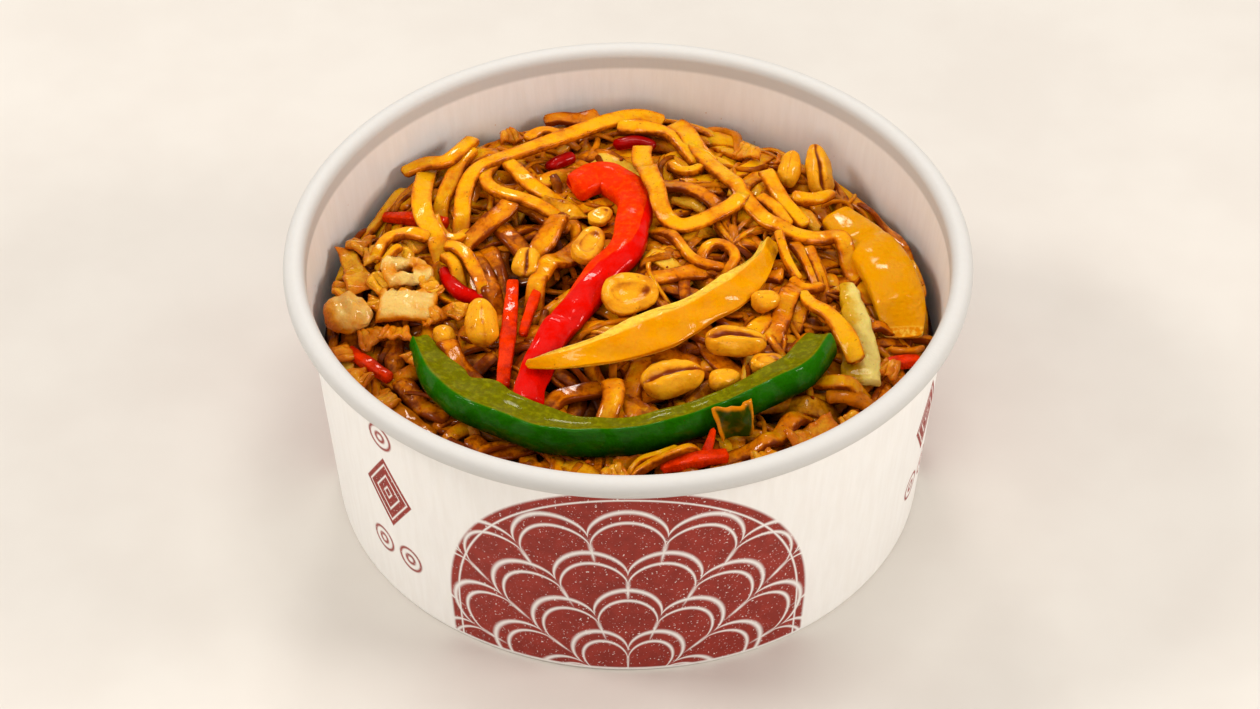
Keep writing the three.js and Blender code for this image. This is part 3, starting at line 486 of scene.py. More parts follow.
class Pile:
    """The top of everything laid so far, and how high a noodle may reach, on a plan grid."""

    CELL = 0.5
    HALF = 70.0
    OPEN = 99.0  # stands for nothing over a cell, and its negative for no piece in it
    DEPTH = 10.0  # the heap is laid from this far under its surface
    HEADROOM = 2.6  # noodles may rise this far over the bare heap's surface
    DIVE = 4.2  # how far a noodle's end sinks into the heap
    DIVE_RUN = 8.0  # over this much of its length
    # Hollows between the top noodles: x, y, reach, depth
    HOLLOWS = [
        (-28, 9, 9, 4.5), (-35, -21, 7, 3.5), (-9, -31, 9, 3.5), (10, -20, 7, 3.5), (24, -7, 7, 3),
        (40, 12, 4, 2.5), (33, -35, 7, 3.5), (-36, 29, 4, 3.5), (53, -4, 5, 2.5), (-6, 27, 5, 3),
        (-54, 24, 5, 3), (-24, -2, 6, 3),
    ]

    def __init__(self):
        axis = np.arange(-self.HALF, self.HALF + self.CELL / 2, self.CELL)
        self.x, self.y = np.meshgrid(axis, axis, indexing="ij")
        surface = heap_height(self.x, self.y)
        self.top = surface - self.DEPTH
        waves = np.sin(self.x / 6.3 + 1.1) * np.sin(self.y / 7.1 + 0.4)
        self.ceiling = surface + self.HEADROOM + 0.7 * waves
        for x, y, reach, depth in self.HOLLOWS:
            self.ceiling -= depth * np.exp(-(((self.x - x) ** 2 + (self.y - y) ** 2) / reach**2))
        self.under = np.full_like(surface, self.OPEN)
        self.over = -self.under

    def cells(self, x, y):
        """The grid's cell over each place, as two indices."""
        steps = (np.rint((along + self.HALF) / self.CELL).astype(int) for along in (x, y))
        return tuple(np.clip(step, 0, len(self.x) - 1) for step in steps)

    def reserve(self, points, radius, underside, topside=-OPEN):
        """Keeps noodles under a piece, from its underside over discs about points [x, y]."""
        sizes = (np.broadcast_to(size, len(points)) for size in (radius, underside, topside))
        for (x, y), reach, low, high in zip(points, *sizes):
            ends = np.array([-reach - 1, reach + 1])
            window = tuple(slice(first, last + 1) for first, last in self.cells(x + ends, y + ends))
            gap = np.hypot(self.x[window] - x, self.y[window] - y) - reach
            limit = low + np.clip(gap - 0.1, 0, 2) * 2.5
            self.under[window] = np.minimum(self.under[window], np.where(gap < 0.9, limit, self.OPEN))
            self.over[window] = np.maximum(self.over[window], np.where(gap < 0.3, high, -self.OPEN))

    def across(self, plan, half):
        """The grid's cells under a strip, (point, place across it)."""
        side = unit(np.stack([-np.gradient(plan[:, 1]), np.gradient(plan[:, 0])], axis=1))
        offsets = np.linspace(-half, half, 7)
        return self.cells(plan[:, :1] + side[:, :1] * offsets, plan[:, 1:] + side[:, 1:] * offsets)

    def settle(self, plan, half, thickness, dive, sink, cap):
        """Heights of a strip's middle along a plan route, its roll, and how much of it is buried.
        It stays cap millimetres under the pile's ceiling."""
        cells = self.across(plan, half * 0.85)
        held = self.top[cells]
        ceiling = self.ceiling[cells].min(1) - cap
        limit = np.minimum(ceiling, self.under[cells].min(1) - 0.2) - thickness / 2
        support = np.percentile(held, 80, axis=1) + thickness / 2 - sink
        z = support.copy()
        for _ in range(3):
            z = np.maximum(soften(z, 5.0), support - 0.25)
        z = soften(np.minimum(z, soften(np.minimum(limit, self.OPEN - 1), 3.0)), 2.0)
        z = np.minimum(z, limit + 0.15)
        run = run_of(plan)
        for end, active in ((run, dive[0]), (run[-1] - run, dive[1])):
            if active:
                z = z - self.DIVE * clamp(1 - end / self.DIVE_RUN) ** 1.6
        slope = (held[:, -1] - held[:, 0]) / (2 * half)
        roll = soften(np.clip(slope, -0.55, 0.55), 4.0)
        return z, roll, np.mean(support - 0.8 > z)

    def hang(self, plan, half, thickness, lifts):
        """Heights of a strip that lies at chosen lifts over the even heap, clear of the toppings."""
        cells = self.across(plan, half)
        z = even_heap(plan[:, 0], plan[:, 1]) + lifts + thickness / 2
        over = self.over[cells].max(1)
        under = self.under[cells].min(1)
        crossing = over > -self.OPEN
        above = crossing & (z > (over + under) / 2)
        below = crossing & ~above
        z = np.where(above, np.maximum(z, over + thickness / 2 + 0.15), z)
        z = np.where(below, np.minimum(z, under - thickness / 2 - 0.15), z)
        smooth = soften(z, 5.0)
        smooth = np.where(above, np.maximum(smooth, z), smooth)
        return soften(smooth, 2.5)

    def stamp(self, path, half, thickness, roll):
        """Raises the pile's top to a strip laid on it; roll is its slope across."""
        side = path_frames(path)[1]
        fine = even_points(np.concatenate([path, side[:, :2], roll[:, None]], axis=1), self.CELL)
        offsets = np.linspace(-1, 1, 9)
        x = fine[:, 0, None] + fine[:, 3, None] * offsets * half
        y = fine[:, 1, None] + fine[:, 4, None] * offsets * half
        tilt = fine[:, 5, None] * offsets * half
        z = fine[:, 2, None] + tilt + thickness / 2 * (1 - 0.6 * offsets**4)
        np.maximum.at(self.top, self.cells(x, y), z)


NOODLE_REACH = 66.6  # radius that noodles keep inside
SCATTER_REACH = 65.0  # radius that they start inside
NOODLE_BLUNT = 0.5  # radius of a noodle's ends
NOODLE_SQUARE = 0.4  # power of its oval section
NOODLE_THICKNESS = 1.7  # of the top noodles
# The dark of the gaps is painted shade
GAP_DEPTH = 6.0  # how far down the gaps are fully dark
CORE_DEPTH = 8.4  # how far down the heap's body lies under the noodles
CRUMBS = 260  # tries at a crumb


def wander(rng, start, heading, length, bend, reach):
    """A plan route in steps of 1 mm that curls at random and turns away from the wall."""
    margin = 9
    phase = rng.random(2) * TAU
    steady = rng.normal() * bend
    points = [np.array(start, float)]
    for k in range(int(length)):
        curl = steady + bend * (math.sin(phase[0] + k / 11)) + 0.6 * bend * math.sin(phase[1] + k / 5.2)
        x, y = points[-1]
        r = math.hypot(x, y)
        if r > reach - margin:
            outward = math.atan2(y, x)
            turn = (outward - heading + math.pi) % TAU - math.pi
            if abs(turn) < math.pi / 2:
                curl -= math.copysign(0.22 * (r - reach + margin) / margin + 0.02, turn)
        heading += curl
        nxt = points[-1] + np.array([math.cos(heading), math.sin(heading)])
        if math.hypot(*nxt) > reach:
            nxt *= reach / math.hypot(*nxt)
        points.append(nxt)
    plan = np.array(points)
    for k in range(2):
        plan[:, k] = soften(plan[:, k], 1.5)
    return plan


def noodle_skin(path, roll, widths, thickness, around, rng):
    """Rings of one flat noodle, a little uneven in width."""
    run = run_of(path)
    share = run / run[-1]
    ends = rounded_ends(run, NOODLE_BLUNT)
    wide = along_list(np.atleast_1d(widths), share) * (1 + hums(share, rng, 5, 0.06))
    wide = (wide * (0.66 + 0.34 * ends))[:, None]
    thick = (thickness * (1 + hums(share, rng, 4, 0.08)) * (0.6 + 0.4 * ends))[:, None]
    across, over = oval(around, NOODLE_SQUARE).T
    cup = rng.normal() * 0.15
    over = over * thick / 2 + cup * (across**2 - 0.4) * wide / 2
    return sweep(path, np.stack([across * wide / 2, over], axis=-1), roll)


def within_wall(vertices):
    """Draws what would pass the bowl's wall back inside it."""
    reach = np.maximum(np.hypot(vertices[:, 0], vertices[:, 1]), 1e-6)
    share = np.minimum(1, (inner_wall(vertices[:, 2]) - 0.4) / reach)
    return vertices * np.stack([share, share, np.ones_like(share)], axis=1)


class Noodles:
    """Lays noodles and shreds on the pile, and gathers their skins by piece."""

    def __init__(self, pile, seed):
        self.pile = pile
        self.rng = np.random.default_rng(seed)
        self.batches = {}

    def tone(self, x, y):
        """How dark a noodle is: by region, painted shade that is least at the back and the right and most in
        the middle and at the front, and at random, its own sauce.
        """
        back = clamp((y - 8) / 40)
        right = clamp((x - 12) / 45)
        front = clamp((-20 - y) / 20)
        chance = self.rng.normal() * 0.3
        return float(np.clip(0.6 - 0.42 * back - 0.3 * right + 0.15 * front + chance, 0, 1.1))

    def shape(self, batch, path, roll, widths, thickness, around, spacing, tone):
        """Adds a noodle's skin to a batch, with its tone, its depth in the heap for painted shade in the
        gaps, and its rim, painted amber at the edges and shaded underneath.
        """
        shaped = even_points(np.concatenate([path, roll[:, None]], axis=1), spacing)
        rings = noodle_skin(shaped[:, :3], shaped[:, 3], widths, thickness, around, self.rng)
        vertices, faces = loft(rings)
        vertices = within_wall(vertices)
        depth = heap_height(vertices[:, 0], vertices[:, 1]) + 0.8 - vertices[:, 2]
        # The painted shade in the gaps is lighter at the back right
        depth = depth * (1 - 0.5 * clamp((vertices[:, 0] + vertices[:, 1] - 10) / 40))
        depth = np.clip(depth / GAP_DEPTH, 0, 1.2)
        across, over = oval(around, NOODLE_SQUARE).T
        # Painted light: amber at the edges, as light through them, and painted shade underneath
        rim = np.tile(np.abs(across) ** 3 + 0.6 * clamp(-over), len(rings))
        clay = self.batches.setdefault(batch, Clay())
        clay.add(vertices, faces, tone=tone, depth=depth, rim=np.append(rim, [1, 1]))

    def scatter(self, batch, tries, *, width, length, thickness, around, spacing, bend, twist=0.0,
                sink=0.35, most_buried=0.5, cap=0.0):
        """Lays noodles at random, and leaves out those that would be mostly buried."""
        rng, pile = self.rng, self.pile
        for _ in range(tries):
            reach = math.sqrt(rng.uniform(0, SCATTER_REACH**2))
            turn = rng.uniform(0, TAU)
            broad = rng.uniform(*width)
            thick = thickness * rng.uniform(0.85, 1.15)
            plan = wander(
                rng,
                (reach * math.cos(turn), reach * math.sin(turn)),
                rng.uniform(0, TAU),
                rng.uniform(*length),
                bend * rng.uniform(0.4, 1.5),
                NOODLE_REACH - broad / 2,
            )
            dive = (rng.random() < 0.8, rng.random() < 0.8)
            z, roll, buried = pile.settle(plan, broad / 2, thick, dive, sink, cap)
            if buried > most_buried:
                continue
            share = np.linspace(0, 1, len(plan))
            roll = roll + hums(share, rng, 3, 0.12)
            turns = twist * rng.random() ** 2
            roll = roll + turns * np.sin(math.pi * (share * rng.uniform(1.2, 2.4) + rng.random()))
            path = np.concatenate([plan, z[:, None]], axis=1)
            flat = broad / 2 * np.abs(np.cos(roll)).mean()
            pile.stamp(path, flat, thick, np.tan(np.clip(roll, -0.7, 0.7)))
            tone = self.tone(*plan[len(plan) // 2])
            self.shape(batch, path, roll, broad, thick, around, spacing, tone)

    def hang(self, batch, stops, widths, tone, thickness, around, spacing):
        """A noodle at a chosen place: stops are [x, y, lift over the even heap]. Where an end
        is low, the noodle goes on into the heap."""
        stops = [np.array(stop, float) for stop in stops]
        for _ in range(2):
            stops.reverse()
            if stops[-1][2] < 1.9:
                onward = unit(stops[-1][:2] - stops[-2][:2]) * 4.5
                stops.append(stops[-1] + [*onward, -4.0])
        route = smooth_route(stops, 0.8)
        for k in range(2):
            route[:, k] = soften(route[:, k], 2.4)
        half = max(np.atleast_1d(widths)) / 2
        z = self.pile.hang(route[:, :2], half * 0.8, thickness, route[:, 2])
        share = np.linspace(0, 1, len(route))
        roll = hums(share, self.rng, 5, 0.2)
        path = np.concatenate([route[:, :2], z[:, None]], axis=1)
        self.shape(batch, path, roll, widths, thickness, around, spacing, tone)


# ---- Toppings: places and sizes as in the part ----


def lie(stops, heights):
    """Middle points of a strip on the heap: each stop is [x, y, height of its underside]."""
    placed = []
    for i, (x, y, *lift) in enumerate(stops):
        height = along_list(heights, i / (len(stops) - 1))
        rise = lift[0] if lift else SEAT
        placed.append([x, y, heap_height(x, y) + rise + height / 2])
    return placed


def lay_strip(pile, data, spacing, ease):
    """Lays a strip on the heap and keeps noodles under it. Gives its middle points, its run in
    millimetres and as a share, and half its width and height along it."""
    path = smooth_route(lie(data["stops"], data["heights"]), spacing)
    share = np.linspace(0, 1, len(path))
    wide, tall = (along_list(data[key], share)[::3] for key in ("widths", "heights"))
    every = path[::3]
    pile.reserve(every[:, :2], wide / 2, every[:, 2] - tall / 2, every[:, 2] + tall / 2)
    run = run_of(path)
    share = run / run[-1]
    halves = (soften(along_list(data[key], share) / 2, ease) for key in ("widths", "heights"))
    return path, run, share, np.stack([*halves], axis=1)


GREEN = {
    "stops": [
        (-46.2, -11.6), (-41.6, -21.8), (-36.2, -29.8), (-27.8, -36.4), (-15.8, -42.4),
        (0, -43.4), (13.9, -38.8), (28.6, -31), (37.4, -24.3), (42.4, -15.2),
    ],
    "widths": [3, 8, 9.6, 8.8, 6.4, 5.2, 5.4, 6.6, 7.8, 6.4],
    "heights": [4.4, 6.6, 7.8, 8.2, 8.2, 8.2, 7.6, 7.4, 7.4, 7],
}
# From the inner low edge, up the flesh, over the cut face and down the skin: across, over and
# how much skin
GREEN_SECTION = [
    (0.62, -0.96, 0), (0.86, -0.8, 0), (0.96, -0.5, 0), (0.92, -0.1, 0), (0.96, 0.3, 0), (1.0, 0.62, 0),
    (0.93, 0.84, 0), (0.7, 0.92, 0), (0.42, 0.88, 0), (0.1, 0.84, 0), (-0.22, 0.86, 0), (-0.52, 0.92, 0),
    (-0.76, 0.99, 0.5), (-0.9, 0.96, 1), (-0.99, 0.8, 1), (-1.06, 0.5, 1), (-1.1, 0.1, 1), (-1.08, -0.3, 1),
    (-0.98, -0.65, 1), (-0.78, -0.88, 1), (-0.4, -1.0, 1), (0.1, -1.02, 0.6),
]
RED = {
    "stops": [
        (-12.5, 34), (-6, 38.5), (0, 34), (1.5, 24), (0, 13), (-6, 2.5),
        (-13, -9), (-18.5, -20), (-20.8, -29), (-21, -33.8),
    ],
    "widths": [7, 8.4, 8.4, 7.8, 7.6, 7.4, 7, 6.8, 6.8, 6.6],
    "heights": [4.4, 4.8, 5, 5, 4.8, 4.6, 4.4, 4.2, 4, 3.8],
}
YELLOW = {
    "stops": [
        (-22, -26, 5.6), (-14, -25.3, 5.4), (-6, -22.5, 4.2), (2, -17.8, 2.6), (10, -12.6, 1.4),
        (17, -7, 0.8), (23.5, 0), (29.2, 8.6), (32, 17),
    ],
    "widths": [1.6, 5.6, 8.8, 9.8, 9.6, 9, 8, 6.6, 4.4],
    "heights": [1.2, 3, 4.6, 5.4, 5.6, 5.4, 5.2, 4.8, 4.2],
}
SLAB = {
    "stops": [(46.5, 29.5), (51, 22.5), (55.8, 13.5), (58.8, 4), (60.2, -3.8), (60, -9, 0.4)],
    "widths": [7, 10, 11.6, 11.8, 11.4, 8.6],
    "heights": [3.2, 4.4, 5, 5, 4.8, 3.6],
}
SMALL_RED = {
    "red_pepper_curl": {
        "stops": [(-41, 10.5), (-39, 5), (-35.6, 1.4), (-29.5, 0)],
        "widths": [2.4, 4, 3.8, 2],
        "heights": [1.8, 2.6, 2.4, 1.6],
    },
    "red_pepper_bit_back": {
        "stops": [(-18.5, 44), (-15.8, 46.6), (-12.5, 49)],
        "widths": [2.6, 3.8, 3],
        "heights": [2, 2.6, 2],
    },
    "red_pepper_bit_far": {
        "stops": [(-3.5, 53), (1.5, 54.2), (6.5, 53.2)],
        "widths": [2.4, 3.4, 2.6],
        "heights": [2, 2.4, 2],
    },
}
CARROTS = {
    "carrot_stick_long": ([(-25.4, 4, 1.6), (-26, -12, 0.8), (-27, -28)], 3.6, 3),
    "carrot_stick_short": ([(-17.8, 6.8, 2.2), (-21, -3.6, 1), (-23, -12.6)], 2.4, 2.2),
    "carrot_stick_left": ([(-56, 31), (-48, 29), (-40.4, 26.6)], 3, 2.6),
    "carrot_stick_edge": ([(-61.4, -10), (-57, -15), (-51.4, -20.2)], 3, 2.6),
    "carrot_stick_front": ([(6.8, -48.8), (14, -47), (21.4, -45.2)], 3.4, 3),
    "carrot_stick_right": ([(56, -16), (60, -15.2), (64, -13.8)], 3, 2.6),
}
ONIONS = {
    "onion_curl_front": ([(-53, -22.4), (-50.6, -27.6), (-46.4, -32.6), (-41, -37)], 5, 2.4),
    "onion_piece_right": ([(42.2, -28.8), (47.4, -27.4), (53, -29.4)], 5, 3),
    "onion_curl_right": ([(56.6, -12.2), (61, -12), (65, -10.2)], 1.9, 2),
    "onion_curl_low": ([(57, -20.6), (59.4, -20), (61.4, -22)], 2.8, 2.2),
}
SLIVERS = {
    "cabbage_sliver_back": ([(9.6, 32.4), (13.6, 31), (17.6, 28)], 4, 2.2),
    "cabbage_strip_right": ([(37, 31.6), (40.4, 27.6), (43, 23.4)], 3.6, 2.2),
}
RIB = {
    "stops": [(48.4, 5.5), (50, -6), (50.6, -15), (50.2, -23.6)],
    "widths": [3.4, 6, 7.8, 9],
    "heights": [2.4, 3, 3, 2.6],
}
# A sliver of carrot that leans by the leek
CARROT_SLIVER = {
    "stops": [(16.4, -45.4, 0.8), (17.4, -43.4, 3), (18.2, -41.8, 5)],
    "widths": [2.4, 2, 1],
    "heights": [1.4, 1.4, 1],
}
# Each peanut's kind, x, y, length, width, height, and its turn, pitch and lean in degrees
PEANUTS = [
    ("whole", -31.8, -10.8, 11.2, 7.6, 7, 98, 24, 0),
    ("half", 0.4, -4.4, 12.8, 9.8, 6, 10, 0, 30),
    ("split", 9.6, -27.4, 14, 9, 7, 18, 0, 14),
    ("split", 23.4, -17, 13.4, 7.6, 6.4, -4, 0, 12),
    ("half", 30, -21.8, 7.6, 5.4, 4.4, 10, 0, 0),
    ("whole", 30.2, -3, 7, 5.6, 5, 20, 0, 0),
    ("half", -8.6, 12.8, 11.6, 7, 5.4, 70, 0, 10),
    ("whole", 20.6, -26.6, 7, 5.4, 4.4, 24, 0, 0),
    ("whole", 36.8, 41.4, 9, 5.6, 5, 75, 35, 0),
    ("split", 43.6, 41.6, 13, 6.6, 5.6, 100, 32, 0),
    ("whole", -40.2, -11.8, 6.4, 4.8, 4.6, 125, 0, 0),
    ("split", -22.4, 9, 8.2, 7, 5, 84, 10, 0),
    ("half", -6.2, 23.8, 6, 5, 4, 40, 0, 0),
]


def turned(vertices, turn=0.0, pitch=0.0, lean=0.0):
    """Leans, pitches and then turns points about the axes, in degrees."""
    a, b, c = (math.radians(angle) for angle in (lean, -pitch, turn))
    about_x = np.array([[1, 0, 0], [0, math.cos(a), -math.sin(a)], [0, math.sin(a), math.cos(a)]])
    about_y = np.array([[math.cos(b), 0, math.sin(b)], [0, 1, 0], [-math.sin(b), 0, math.cos(b)]])
    about_z = np.array([[math.cos(c), -math.sin(c), 0], [math.sin(c), math.cos(c), 0], [0, 0, 1]])
    return vertices @ (about_z @ about_y @ about_x).T


def dropped(vertices, x, y, lift=SEAT):
    """Moves a lump to a place in plan and down until it lies on the heap."""
    under = heap_height(x + vertices[:, 0], y + vertices[:, 1])
    sink = np.min(vertices[:, 2] - under)
    return vertices + [x, y, lift - sink]


def ball(rings, around):
    """A unit ball with its poles on the x axis: vertices, faces, and angles along and round."""
    polar = np.linspace(0, math.pi, rings + 1)[1:-1]
    angle = np.arange(around) * TAU / around
    x = np.repeat(-np.cos(polar)[:, None], around, axis=1)
    y = np.sin(polar)[:, None] * np.cos(angle)
    z = np.sin(polar)[:, None] * np.sin(angle)
    vertices, faces = loft(np.stack([x, y, z], axis=-1))
    vertices[-2:] = [[-1, 0, 0], [1, 0, 0]]
    return vertices, faces


def peanut(kind, length, width, height, seed):
    """A kernel: whole, split a little along its seam, or one half with its hollow up."""
    vertices, faces = ball(48, 52)
    x, y, z = vertices.T
    nose = 1 - 0.16 * x - 0.05 * np.cos(3 * x)
    above = z > 0
    if kind == "half":
        # Its flat side is up, with a shallow hollow and the mark of the germ at its nose
        inside = clamp(1 - (x / 0.74) ** 2 - (y / 0.56) ** 2)
        germ = np.exp(-(((x - 0.55) / 0.2) ** 2) - (y / 0.16) ** 2)
        flat = 0.5 * clamp(z) ** 0.4 * (1 - 0.25 * y * y)
        hollow = 0.1 + 0.12 * min(1, max(0, (length - 7) / 5))
        z = np.where(above, flat - hollow * inside**0.6 - 0.12 * germ, z)
        # Darker round the edge of the hollow, painted shade, and at the germ's mark, its own colour
        inner = np.where(above, 0.5 * clamp(inside * 4) * (1 - inside) + 0.3 * germ, 0)
    else:
        split = kind == "split"
        seam = bell(y, 0, 0.13 if split else 0.08) * clamp(1.2 - np.abs(x))
        z = np.where(above, z * (1 - (0.42 if split else 0.05) * seam), z)
        shoulder = bell(np.abs(y), 0.42, 0.2) * clamp(1 - x**2)
        z = np.where(above & split, z + 0.1 * shoulder, z)
        mouth = np.exp(-(((x + 0.62) / 0.26) ** 2) - (y / 0.26) ** 2)
        z = np.where(above & split, z - 0.3 * mouth, z)
        # Darker along the seam: painted shade in the crease
        inner = np.where(above, clamp(seam * (1.3 if split else 0.4)), 0)
    # Darker towards the bottom: painted shade
    edge = clamp(1 - vertices[:, 2]) * 0.35
    shaped = np.stack([x * length / 2, y * nose * width / 2, z * nose * height / 2], axis=1)
    return lumpy(lumpy(shaped, 3.4, 0.4, seed), 1.3, 0.1, seed + 40), faces, clamp(inner + edge)


def leaf_skin(columns, rows, thickness, place):
    """A thin wavy leaf from its middle surface, place(u, v), as a closed skin."""
    u, v = np.meshgrid(np.linspace(0, 1, columns + 1), np.linspace(0, 1, rows + 1), indexing="ij")
    middle = place(u, v)
    step = 0.01
    normal = unit(np.cross(place(u + step, v) - middle, place(u, v + step) - middle))
    edge = np.minimum.reduce([u, 1 - u, v, 1 - v])
    thick = thickness / 2 * np.sqrt(np.clip(edge / 0.08, 0.06, 1))[..., None]
    top = middle + normal * thick
    low = middle - normal * thick
    grid = np.arange(u.size).reshape(u.shape)
    face = np.stack([grid[:-1, :-1], grid[1:, :-1], grid[1:, 1:], grid[:-1, 1:]], axis=-1).reshape(-1, 4)
    border = np.concatenate([grid[:-1, 0], grid[-1, :-1], grid[:0:-1, -1], grid[0, :0:-1]])
    after = np.roll(border, -1)
    wall = np.stack([border, border + u.size, after + u.size, after], axis=-1)
    vertices = np.concatenate([top.reshape(-1, 3), low.reshape(-1, 3)])
    browned = clamp(1 - edge / 0.16).ravel()
    return vertices, [face, face[:, ::-1] + u.size, wall], np.concatenate([browned, browned])


# ---- Bowl ----


def turn_profile(profile, steps, radius_shift=None):
    """Points of an [r, z] outline turned round the upright axis, (step, point of the outline)."""
    profile = np.asarray(profile, float)
    angle = np.arange(steps) * TAU / steps
    r = profile[None, :, 0] + (radius_shift(angle[:, None], profile[None, :, :]) if radius_shift else 0)
    x = r * np.cos(angle)[:, None]
    y = r * np.sin(angle)[:, None]
    z = np.broadcast_to(profile[None, :, 1], x.shape)
    return np.stack([x, y, z], axis=-1)


def paper_finish():
    recipe = Recipe("white_paper_board", {
        "Roughness": 0.5,
        "Subsurface Weight": 0.06,
        "Subsurface Radius": (1.0, 0.8, 0.6),
        "Subsurface Scale": 1.0 * MM,
        "Specular IOR Level": 0.4,
    })
    x, y, z = (recipe.axis(name) for name in "XYZ")

    def length(a, b):
        return recipe.math("SQRT", a * a + b * b)

    # The print comes three times round the wall: u runs along the wall from the middle of each
    third = TAU / 3
    u = ((recipe.math("ARCTAN2", x, -y) + third / 2) % third - third / 2) * PRINT_RADIUS
    past_middle = (length(x, y) - (z * WALL_FLARE + FOOT_RADIUS - PAPER / 2)).rise(0.0, 0.1)
    outside = past_middle * (1 - z.rise(ROLL_FOOT, ROLL_FOOT + 0.5))

    # A fan of petals in rings, opening upwards from the foot
    rise = z + 6.0
    spread = length(u, rise)
    fan = recipe.math("ARCTAN2", u, rise)
    bow = (u / 42.0) ** 2 + (((z - 12.0) / 46.5).most(0.0)) ** 2
    bare = bow.near(0.88, 0.02)
    for ring, petals in enumerate((3.5, 5.5, 7.5, 9.5)):
        petal = (fan * petals + 0.5 * math.pi * (ring % 2)).sine()
        edge = spread - (13.0 + 12.5 * ring) - abs(petal) ** 0.55 * 7.5
        outline = edge.near(0.0, 1.1).most(edge.near(-3.4, 0.8))
        vein = petal.near(0.0, 0.16) * edge.near(-6.0, 5.0)
        bare = bare.most(outline.most(vein))
    field = (1 - bow.rise(0.96, 1.0)) * z.rise(0.8, 1.4) * (1 - bare * 0.96)

    # A small lattice to one side and three rounds to the other
    aside = recipe.math("WRAP", u + 58.0, 72.2, -72.2)
    tall = z - 34.0
    diamond = abs(aside) + abs(tall) * 0.7
    small = (1 - diamond.rise(7.2, 7.6)) * (1 - (diamond % 2.4).near(1.2, 0.5))
    for du, dz in ((0.0, 17.0), (-4.6, -18.0), (4.6, -18.0)):
        gap = length(aside - du, tall - dz)
        small = small.most(gap.near(3.2, 0.7).most(gap.near(1.2, 0.8)))
    speckle = recipe.grain(0.5, 2.0, seed=2.5).rise(0.28, 0.36)
    print_mask = field.most(small) * speckle * outside

    fibre = recipe.grain(1.6, 3.0, stretch=(1, 1, 0.12), seed=0.4)
    sheet = recipe.mix(fibre.rise(0.3, 0.7), (0.85, 0.825, 0.79), (0.88, 0.86, 0.83))
    # Painted shade: the rolled rim is painted darker, a little less at its very top
    sheet = recipe.mix(z.rise(ROLL_FOOT, 59.6) * (1 - z.rise(62.6, 63.9) * 0.3), sheet, (0.6, 0.585, 0.56))
    brick = recipe.mix(recipe.grain(3.0, 3.0).rise(0.3, 0.7), (0.26, 0.022, 0.012), (0.34, 0.032, 0.018))
    color = recipe.mix(print_mask, sheet, brick)
    # Thin sauce spots on the lining just over the food
    inside = (1 - past_middle) * z.rise(9.0, 10.0)
    splash = recipe.grain(1.5, 2.0, seed=11.0).rise(0.72, 0.76) * (1 - z.rise(47.0, 56.0)) * inside
    color = recipe.mix(splash * 0.5, color, (0.62, 0.3, 0.08))
    rough = 0.5 - 0.12 * inside + 0.1 * fibre
    pulp = recipe.grain(0.5, 3.0, seed=1.0)
    return recipe.finish(color, rough, None, [(fibre, 0.05), (pulp, 0.02)])


def make_bowl(paper):
    centre_r = RIM_RADIUS - ROLL_RADIUS
    centre_z = BOWL_HEIGHT - ROLL_RADIUS
    outer_turns = np.radians(np.linspace(-139, 178, 34))
    roll = [
        (centre_r + ROLL_RADIUS * math.cos(a), centre_z + ROLL_RADIUS * math.sin(a)) for a in outer_turns
    ]
    wall_out = [(outer_wall(z), z) for z in np.linspace(1.0, 58.6, 40)]
    wall_in = [(inner_wall(z), z) for z in np.linspace(57.5, FOOT_RISE + 1, 40)]
    foot_in = outer_wall(FOOT_RISE) - FOOT_BAND
    foot = [
        (inner_wall(FOOT_RISE), FOOT_RISE),
        (foot_in, FOOT_RISE),
        (FOOT_RADIUS - FOOT_BAND, 0.5),
        (FOOT_RADIUS - FOOT_BAND + 0.4, 0.05),
        (FOOT_RADIUS - FOOT_BAND / 2, 0.0),
        (FOOT_RADIUS - 0.35, 0.05),
        (FOOT_RADIUS, 0.4),
    ]
    profile = [*wall_out, *roll, *wall_in, *foot]
    seam_at = math.radians(96)
    seam_wide = math.radians(5.5)

    def lap(angle, points):
        """How far the sheet's end stands out, where it laps over its start."""
        turn = (angle - seam_at + math.pi) % TAU - math.pi
        rises = 1 / (1 + np.exp(-np.clip((turn + seam_wide) * 900, -40, 40)))
        fades = 1 / (1 + np.exp(np.clip((turn - seam_wide) * 60, -40, 40)))
        r, z = points[..., 0], points[..., 1]
        on_wall = (z < ROLL_FOOT + 0.4) & (r > z * WALL_FLARE + FOOT_RADIUS - 0.1)
        return LAP * rises * fades * on_wall

    wall = turn_profile(profile, 720, lap)
    make_piece("bowl_wall_and_rim", paper, "paper", ["bowl_sidewall"], wall, [closed_quads(wall.shape[:2])])

    # The pressed-in base, slightly domed, with its edge inside the foot
    edge = inner_wall(FOOT_RISE) - 0.4
    low = FOOT_RISE + 0.3
    radii = np.linspace(0, edge, 40)
    dome = 0.25 * (1 - (radii / edge) ** 2)
    underside = [(r, low + d) for r, d in zip(radii, dome)]
    topside = [(r, low + 0.7) for r in radii[::-1]]
    rings = turn_profile([*underside, *topside], 180).transpose(1, 0, 2)[1:-1]
    make_piece("bowl_base_disc", paper, "paper", ["bowl_base"], *loft(rings))


# ---- Peppers ----


